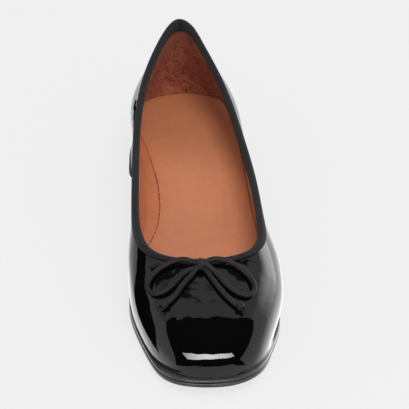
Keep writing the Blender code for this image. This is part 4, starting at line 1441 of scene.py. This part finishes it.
def heel_rings(levels):
    """Rings of the heel at levels of (height, inset): the sole's back end, closed by a straight breast."""
    rings = []
    half = len(SOLE_PLAN) // 2
    for height, inset in levels:
        lip = SOLE_LIP * OUTSOLE_LIP - HEEL_EDGE_ROUND - inset
        plan = SOLE_PLAN + outward(SOLE_PLAN) * lip[:, None]
        spread = 1 - height / HEEL_RISE
        outer = heel_side(plan[1:half], spread)
        inner = heel_side(plan[:half:-1], spread)
        count = min(len(outer), len(inner)) - 1
        outer, inner = outer[:count], inner[:count]
        corners = [breast_corner(outer), breast_corner(inner)[::-1]]
        ring = np.concatenate([inner[::-1], plan[:1], outer, *corners])
        rings.append(np.column_stack([ring, np.full(len(ring), height)]))
    shortest = min(len(ring) for ring in rings)
    if any(len(ring) != shortest for ring in rings):
        raise ValueError("the heel's rings differ in length")
    return to_frame(np.array(rings))


def make_heel(context):
    """The heel block and the top lift that it stands on."""
    colours = context.scene.shoe_colours
    low, high = TOP_LIFT_THICKNESS + GAP, HEEL_RISE - GAP
    soft, top = HEEL_SOFT, TOP_LIFT_THICKNESS
    block = [(low, soft), (low + soft, 0.0), ((low + high) / 2, 0.0), (high - soft, 0.0), (high, soft)]
    lift = [(0.0, soft), (soft, 0.0), (top - soft, 0.0), (top, soft)]
    lacquer = edge_finish("heel_lacquer", tuple(colours.lacquer), roughness=0.14, coat=1.0)
    mesh = lofted("heel_block_body", heel_rings(block), caps=True, sharp=SHARP_EDGE)
    add_piece("heel_block_body", mesh, lacquer, ("heel_block",))
    mesh = lofted("heel_top_lift", heel_rings(lift), caps=True, sharp=SHARP_EDGE)
    rubber = edge_finish("top_lift_rubber", tuple(colours.rubber), roughness=0.50, coat=0.0)
    add_piece("heel_top_lift", mesh, rubber, ("top_lift",))


def stage_material(name, colour, glow=0.0):
    """A plain material for the stage, which may glow."""
    made = bpy.data.materials.new(name)
    made.use_nodes = True
    shader = made.node_tree.nodes["Principled BSDF"]
    shader.inputs["Base Color"].default_value = (*colour, 1.0)
    shader.inputs["Roughness"].default_value = 1.0
    shader.inputs["Specular IOR Level"].default_value = 0.0
    shader.inputs["Emission Color"].default_value = (1.0, 1.0, 1.0, 1.0)
    shader.inputs["Emission Strength"].default_value = glow
    return made


def add_card(name, corners, faces, material, reflected_only=True):
    """A card of the stage. A reflected one shows only in glossy surfaces."""
    mesh = bpy.data.meshes.new(name)
    mesh.from_pydata([tuple(corner) for corner in corners], [], [tuple(face) for face in faces])
    mesh.materials.append(material)
    made = bpy.data.objects.new(name, mesh)
    bpy.context.scene.collection.objects.link(made)
    if reflected_only:
        for ray in ("camera", "diffuse", "shadow", "transmission", "volume_scatter"):
            setattr(made, f"visible_{ray}", False)
    return made


def flat_corners(wide, deep):
    """Corners of a level rectangle round the origin, from its half width and half depth."""
    return [(-wide, -deep, 0.0), (wide, -deep, 0.0), (wide, deep, 0.0), (-wide, deep, 0.0)]


def make_camera(context):
    """The camera at the photograph's angle to the shoe."""
    cos_up, sin_up = math.cos(VIEW_ELEVATION), math.sin(VIEW_ELEVATION)
    back = Vector((math.sin(VIEW_AZIMUTH) * cos_up, -math.cos(VIEW_AZIMUTH) * cos_up, sin_up))
    right = Vector((math.cos(VIEW_AZIMUTH), math.sin(VIEW_AZIMUTH), 0.0))
    data = bpy.data.cameras.new("photo_camera")
    made = bpy.data.objects.new("photo_camera", data)
    context.scene.collection.objects.link(made)
    turn = Matrix((right, back.cross(right), back)).transposed()
    made.matrix_world = Matrix.Translation(VIEW_AIM + back * VIEW_DISTANCE) @ turn.to_4x4()
    data.sensor_width = SENSOR
    data.lens = PIXELS_PER_METRE * VIEW_DISTANCE * SENSOR / CROP_SIZE
    middle = [corner + CROP_SIZE / 2 for corner in CROP_CORNER]
    data.shift_x = (middle[0] - AIM_PIXEL[0]) / CROP_SIZE
    data.shift_y = (AIM_PIXEL[1] - middle[1]) / CROP_SIZE
    data.clip_end = VIEW_CLIP
    context.scene.camera = made


def add_area_light(name, place, target, size, power):
    """A square area light aimed at a point, which no surface mirrors."""
    data = bpy.data.lights.new(name, "AREA")
    data.size = size
    data.energy = power
    made = bpy.data.objects.new(name, data)
    made.location = place
    made.rotation_mode = "QUATERNION"
    made.rotation_quaternion = (Vector(target) - Vector(place)).to_track_quat("-Z", "Y")
    made.visible_glossy = False
    bpy.context.scene.collection.objects.link(made)
    return made


def glow_finish(name):
    """A black matt finish for a card, to be given its glow."""
    return Finish(name, (0.0, 0.0, 0.0), 1.0, specular_ior_level=0.0)


def panel_material(name, base, peak, solid_height, height):
    """A glow that fades with the direction from its card's origin, and towards the card's top."""
    made = glow_finish(name)
    turn = made.node("ShaderNodeTexGradient", {"gradient_type": "RADIAL"}, Vector=made.place).outputs["Fac"]
    degrees = made.math("MULTIPLY", made.math("SUBTRACT", turn, 0.5), 360.0)
    rise = made.between(degrees, *PANEL_RISE)
    fall = made.between(degrees, *PANEL_FALL, 1.0, 0.0)
    up = made.node("ShaderNodeSeparateXYZ", None, Vector=made.place).outputs["Z"]
    top = made.between(up, solid_height, height, 1.0, 0.0)
    share = made.math("MULTIPLY", made.math("MULTIPLY", rise, fall), top)
    made.glow(made.math("ADD", made.math("MULTIPLY", share, peak - base), base))
    return made.material


def window_material(name, peak):
    """A glow that is brightest in the middle of the window."""
    made = glow_finish(name)
    x = made.node("ShaderNodeSeparateXYZ", None, Vector=made.place).outputs["X"]
    away = made.math("ABSOLUTE", made.math("SUBTRACT", x, WINDOW_BRIGHTEST))
    made.glow(made.between(away, 0.0, WINDOW_HALF_WIDTH, peak, peak * WINDOW_END_SHARE))
    return made.material


def ceiling_material(level):
    """The ceiling's even glow with its darker, soft-edged patches of painted shade for the bow."""
    made = glow_finish("ceiling_glow")
    place = made.node("ShaderNodeSeparateXYZ", None, Vector=made.place)
    cloud = made.noise(scale=5.0, detail=4.0, roughness=0.6)
    warp = made.math("MULTIPLY", made.math("SUBTRACT", cloud, 0.5), PATCH_WARP)
    warped_x = made.math("ADD", place.outputs["X"], warp)
    warped_y = made.math("SUBTRACT", place.outputs["Y"], made.math("MULTIPLY", warp, 0.5))
    glow = level
    # Each patch darkens the glow where the vamp mirrors it, as painted shade under the bow.
    for x, y, wide, deep, left in CEILING_SHADE_PATCHES:
        oval = made.across_oval(warped_x, warped_y, (x, y), (wide, deep))
        glow = made.math("MULTIPLY", made.between(oval, *PATCH_FADE, left, 1.0), glow)
    made.glow(glow)
    return made.material


def make_side_panel(settings):
    """The bright panel on the outer side and its glow on the floor."""
    turns = np.radians(np.linspace(*PANEL_SPAN, PANEL_STEPS))
    rim = [(PANEL_DISTANCE * math.cos(turn), PANEL_DISTANCE * math.sin(turn)) for turn in turns]
    count = len(rim)
    upright = [(x, y, 0.0) for x, y in rim] + [(x, y, PANEL_HEIGHT) for x, y in rim]
    faces = [(k, k + 1, count + k + 1, count + k) for k in range(count - 1)]
    bright = panel_material("panel_glow", settings.surround, settings.side, PANEL_SOLID_HEIGHT, PANEL_HEIGHT)
    panel = add_card("side_panel", upright, faces, bright)
    flat = [(0.0, 0.0, 0.0)] + [(x, y, 0.0) for x, y in rim]
    on_floor = settings.side * PANEL_ON_FLOOR
    soft = panel_material("floor_glow", settings.surround, on_floor, PANEL_SOLID_HEIGHT, PANEL_HEIGHT)
    glow = add_card("side_glow", flat, [(0, k, k + 1) for k in range(1, count)], soft)
    for card in (panel, glow):
        card.location = PANEL_FROM


def make_mirrored(settings):
    """The surfaces that are seen only as reflections in the patent."""
    dark = stage_material("dark_cloth", (0.0, 0.0, 0.0))
    outline = CANOPY_INNER + CANOPY_OUTER[::-1]
    canopy = [(x, y, CANOPY_HEIGHT) for x, y in outline]
    far = len(CANOPY_INNER) - 1
    x0, x1, front = canopy[far][0], canopy[far + 1][0], canopy[far][1]
    canopy += [(x0, front, 0.0), *[(x, front, z) for x, z in CANOPY_WALL_FOOT], (x1, front, 0.0)]
    count = len(outline)
    wall = (far, *range(count, len(canopy)), far + 1)
    add_card("dark_canopy", canopy, [range(count), wall], dark)
    for name, place in (
        ("dark_floor_inner", DARK_FLOOR_INNER),
        ("dark_floor_outer", DARK_FLOOR_OUTER),
        ("dark_floor_heel", DARK_FLOOR_HEEL),
    ):
        add_card(name, [(x, y, DARK_FLOOR_HEIGHT) for x, y in place], [range(len(place))], dark)
    window = [(x, WINDOW_PLACE, z) for x, z in WINDOW_CORNERS]
    add_card("window", window, [range(len(window))], window_material("window_glow", settings.window))
    wide = CEILING_HALF_WIDTH
    plan = [(-wide, CANOPY_BACK), (wide, CANOPY_BACK), (wide, CEILING_BACK), (-wide, CEILING_BACK)]
    ceiling = [(x, y, CANOPY_HEIGHT) for x, y in plan]
    add_card("grey_ceiling", ceiling, [range(4)], ceiling_material(settings.ceiling))
    make_side_panel(settings)
    make_inner_glow(settings)
    outline = [(DARK_CARD_PLACE, y, z) for y, z in DARK_CARD]
    add_card("dark_card", outline, [range(len(outline))], dark)


def make_inner_glow(settings):
    """The lit floor on the inner side, which fades into the floor round it."""
    made = glow_finish("inner_glow")
    place = made.node("ShaderNodeSeparateXYZ", None, Vector=made.place)
    oval = made.across_oval(place.outputs["X"], place.outputs["Y"], (0.0, 0.0), INNER_GLOW_HALF)
    made.glow(made.between(oval, INNER_GLOW_FADE, 1.0, INNER_GLOW, settings.surround))
    glow = add_card("inner_glow", flat_corners(*INNER_GLOW_HALF), [range(4)], made.material)
    glow.location = INNER_GLOW_PLACE


def make_stage(context):
    """The camera, the pale floor, the white surround and the soft lights."""
    make_camera(context)
    settings = context.scene.shoe_stage
    context.scene.view_settings.view_transform = "Standard"
    world = bpy.data.worlds.new("white_surround")
    world.use_nodes = True
    world.node_tree.nodes["Background"].inputs["Color"].default_value = (*[settings.surround] * 3, 1.0)
    context.scene.world = world
    paper = stage_material("floor_paper", tuple(settings.floor), settings.floor_glow)
    add_card("floor", flat_corners(FLOOR_HALF, FLOOR_HALF), [range(4)], paper, reflected_only=False)
    add_area_light("key", KEY_PLACE, KEY_AIM, KEY_SIZE, settings.key)
    make_mirrored(settings)


class SHOE_OT_stage(Operator):
    """Makes the camera, the floor and the lights"""

    bl_idname = "shoe.stage"
    bl_label = "Stage"

    def execute(self, context):
        make_stage(context)
        return {"FINISHED"}


class SHOE_OT_bow(Operator):
    """Makes the cord bow with its knot, end knots and frayed tips"""

    bl_idname = "shoe.bow"
    bl_label = "Bow"

    def execute(self, context):
        make_bow(context)
        return {"FINISHED"}


class SHOE_OT_upper(Operator):
    """Makes the patent leather shell"""

    bl_idname = "shoe.upper"
    bl_label = "Upper"

    def execute(self, context):
        make_upper(context)
        return {"FINISHED"}


class SHOE_OT_binding(Operator):
    """Makes the grosgrain tape round the collar"""

    bl_idname = "shoe.binding"
    bl_label = "Collar tape"

    def execute(self, context):
        make_binding(context)
        return {"FINISHED"}


class SHOE_OT_lining(Operator):
    """Makes the side lining and the suede heel lining"""

    bl_idname = "shoe.lining"
    bl_label = "Linings"

    def execute(self, context):
        make_lining(context)
        return {"FINISHED"}


class SHOE_OT_insole(Operator):
    """Makes the insole, the sock and its stitches"""

    bl_idname = "shoe.insole"
    bl_label = "Insole and sock"

    def execute(self, context):
        make_insole(context)
        return {"FINISHED"}


class SHOE_OT_sole(Operator):
    """Makes the midsole and the outsole"""

    bl_idname = "shoe.sole"
    bl_label = "Sole layers"

    def execute(self, context):
        make_sole(context)
        return {"FINISHED"}


class SHOE_OT_heel(Operator):
    """Makes the heel block and its top lift"""

    bl_idname = "shoe.heel"
    bl_label = "Heel"

    def execute(self, context):
        make_heel(context)
        return {"FINISHED"}


class SHOE_PT_panel(Panel):
    """Lists the shoe's pieces, sizes and colours in the sidebar"""

    bl_idname = "SHOE_PT_panel"
    bl_label = "Ballet flat"
    bl_space_type = "VIEW_3D"
    bl_region_type = "UI"
    bl_category = "Ballet flat"

    def draw(self, context):
        for operator in OPERATORS:
            self.layout.operator(operator.bl_idname)
        for group in (context.scene.shoe_sizes, context.scene.shoe_colours, context.scene.shoe_stage):
            box = self.layout.box()
            for name in group.__annotations__:
                box.prop(group, name)


OPERATORS = (
    SHOE_OT_stage,
    SHOE_OT_bow,
    SHOE_OT_upper,
    SHOE_OT_binding,
    SHOE_OT_lining,
    SHOE_OT_insole,
    SHOE_OT_sole,
    SHOE_OT_heel,
)
GROUPS = {"shoe_sizes": ShoeSizes, "shoe_colours": ShoeColours, "shoe_stage": StageSettings}


def register():
    """Adds the property groups, the operators and the panel."""
    for name, group in GROUPS.items():
        bpy.utils.register_class(group)
        setattr(bpy.types.Scene, name, PointerProperty(type=group))
    for entry in (*OPERATORS, SHOE_PT_panel):
        bpy.utils.register_class(entry)


def unregister():
    """Takes away what register added."""
    for entry in (SHOE_PT_panel, *reversed(OPERATORS)):
        bpy.utils.unregister_class(entry)
    for name, group in GROUPS.items():
        delattr(bpy.types.Scene, name)
        bpy.utils.unregister_class(group)


def main():
    """Builds the stage and the shoe."""
    register()
    bpy.ops.shoe.stage()
    bpy.ops.shoe.bow()
    bpy.ops.shoe.upper()
    bpy.ops.shoe.binding()
    bpy.ops.shoe.lining()
    bpy.ops.shoe.insole()
    bpy.ops.shoe.sole()
    bpy.ops.shoe.heel()


if __name__ == "__main__":
    main()
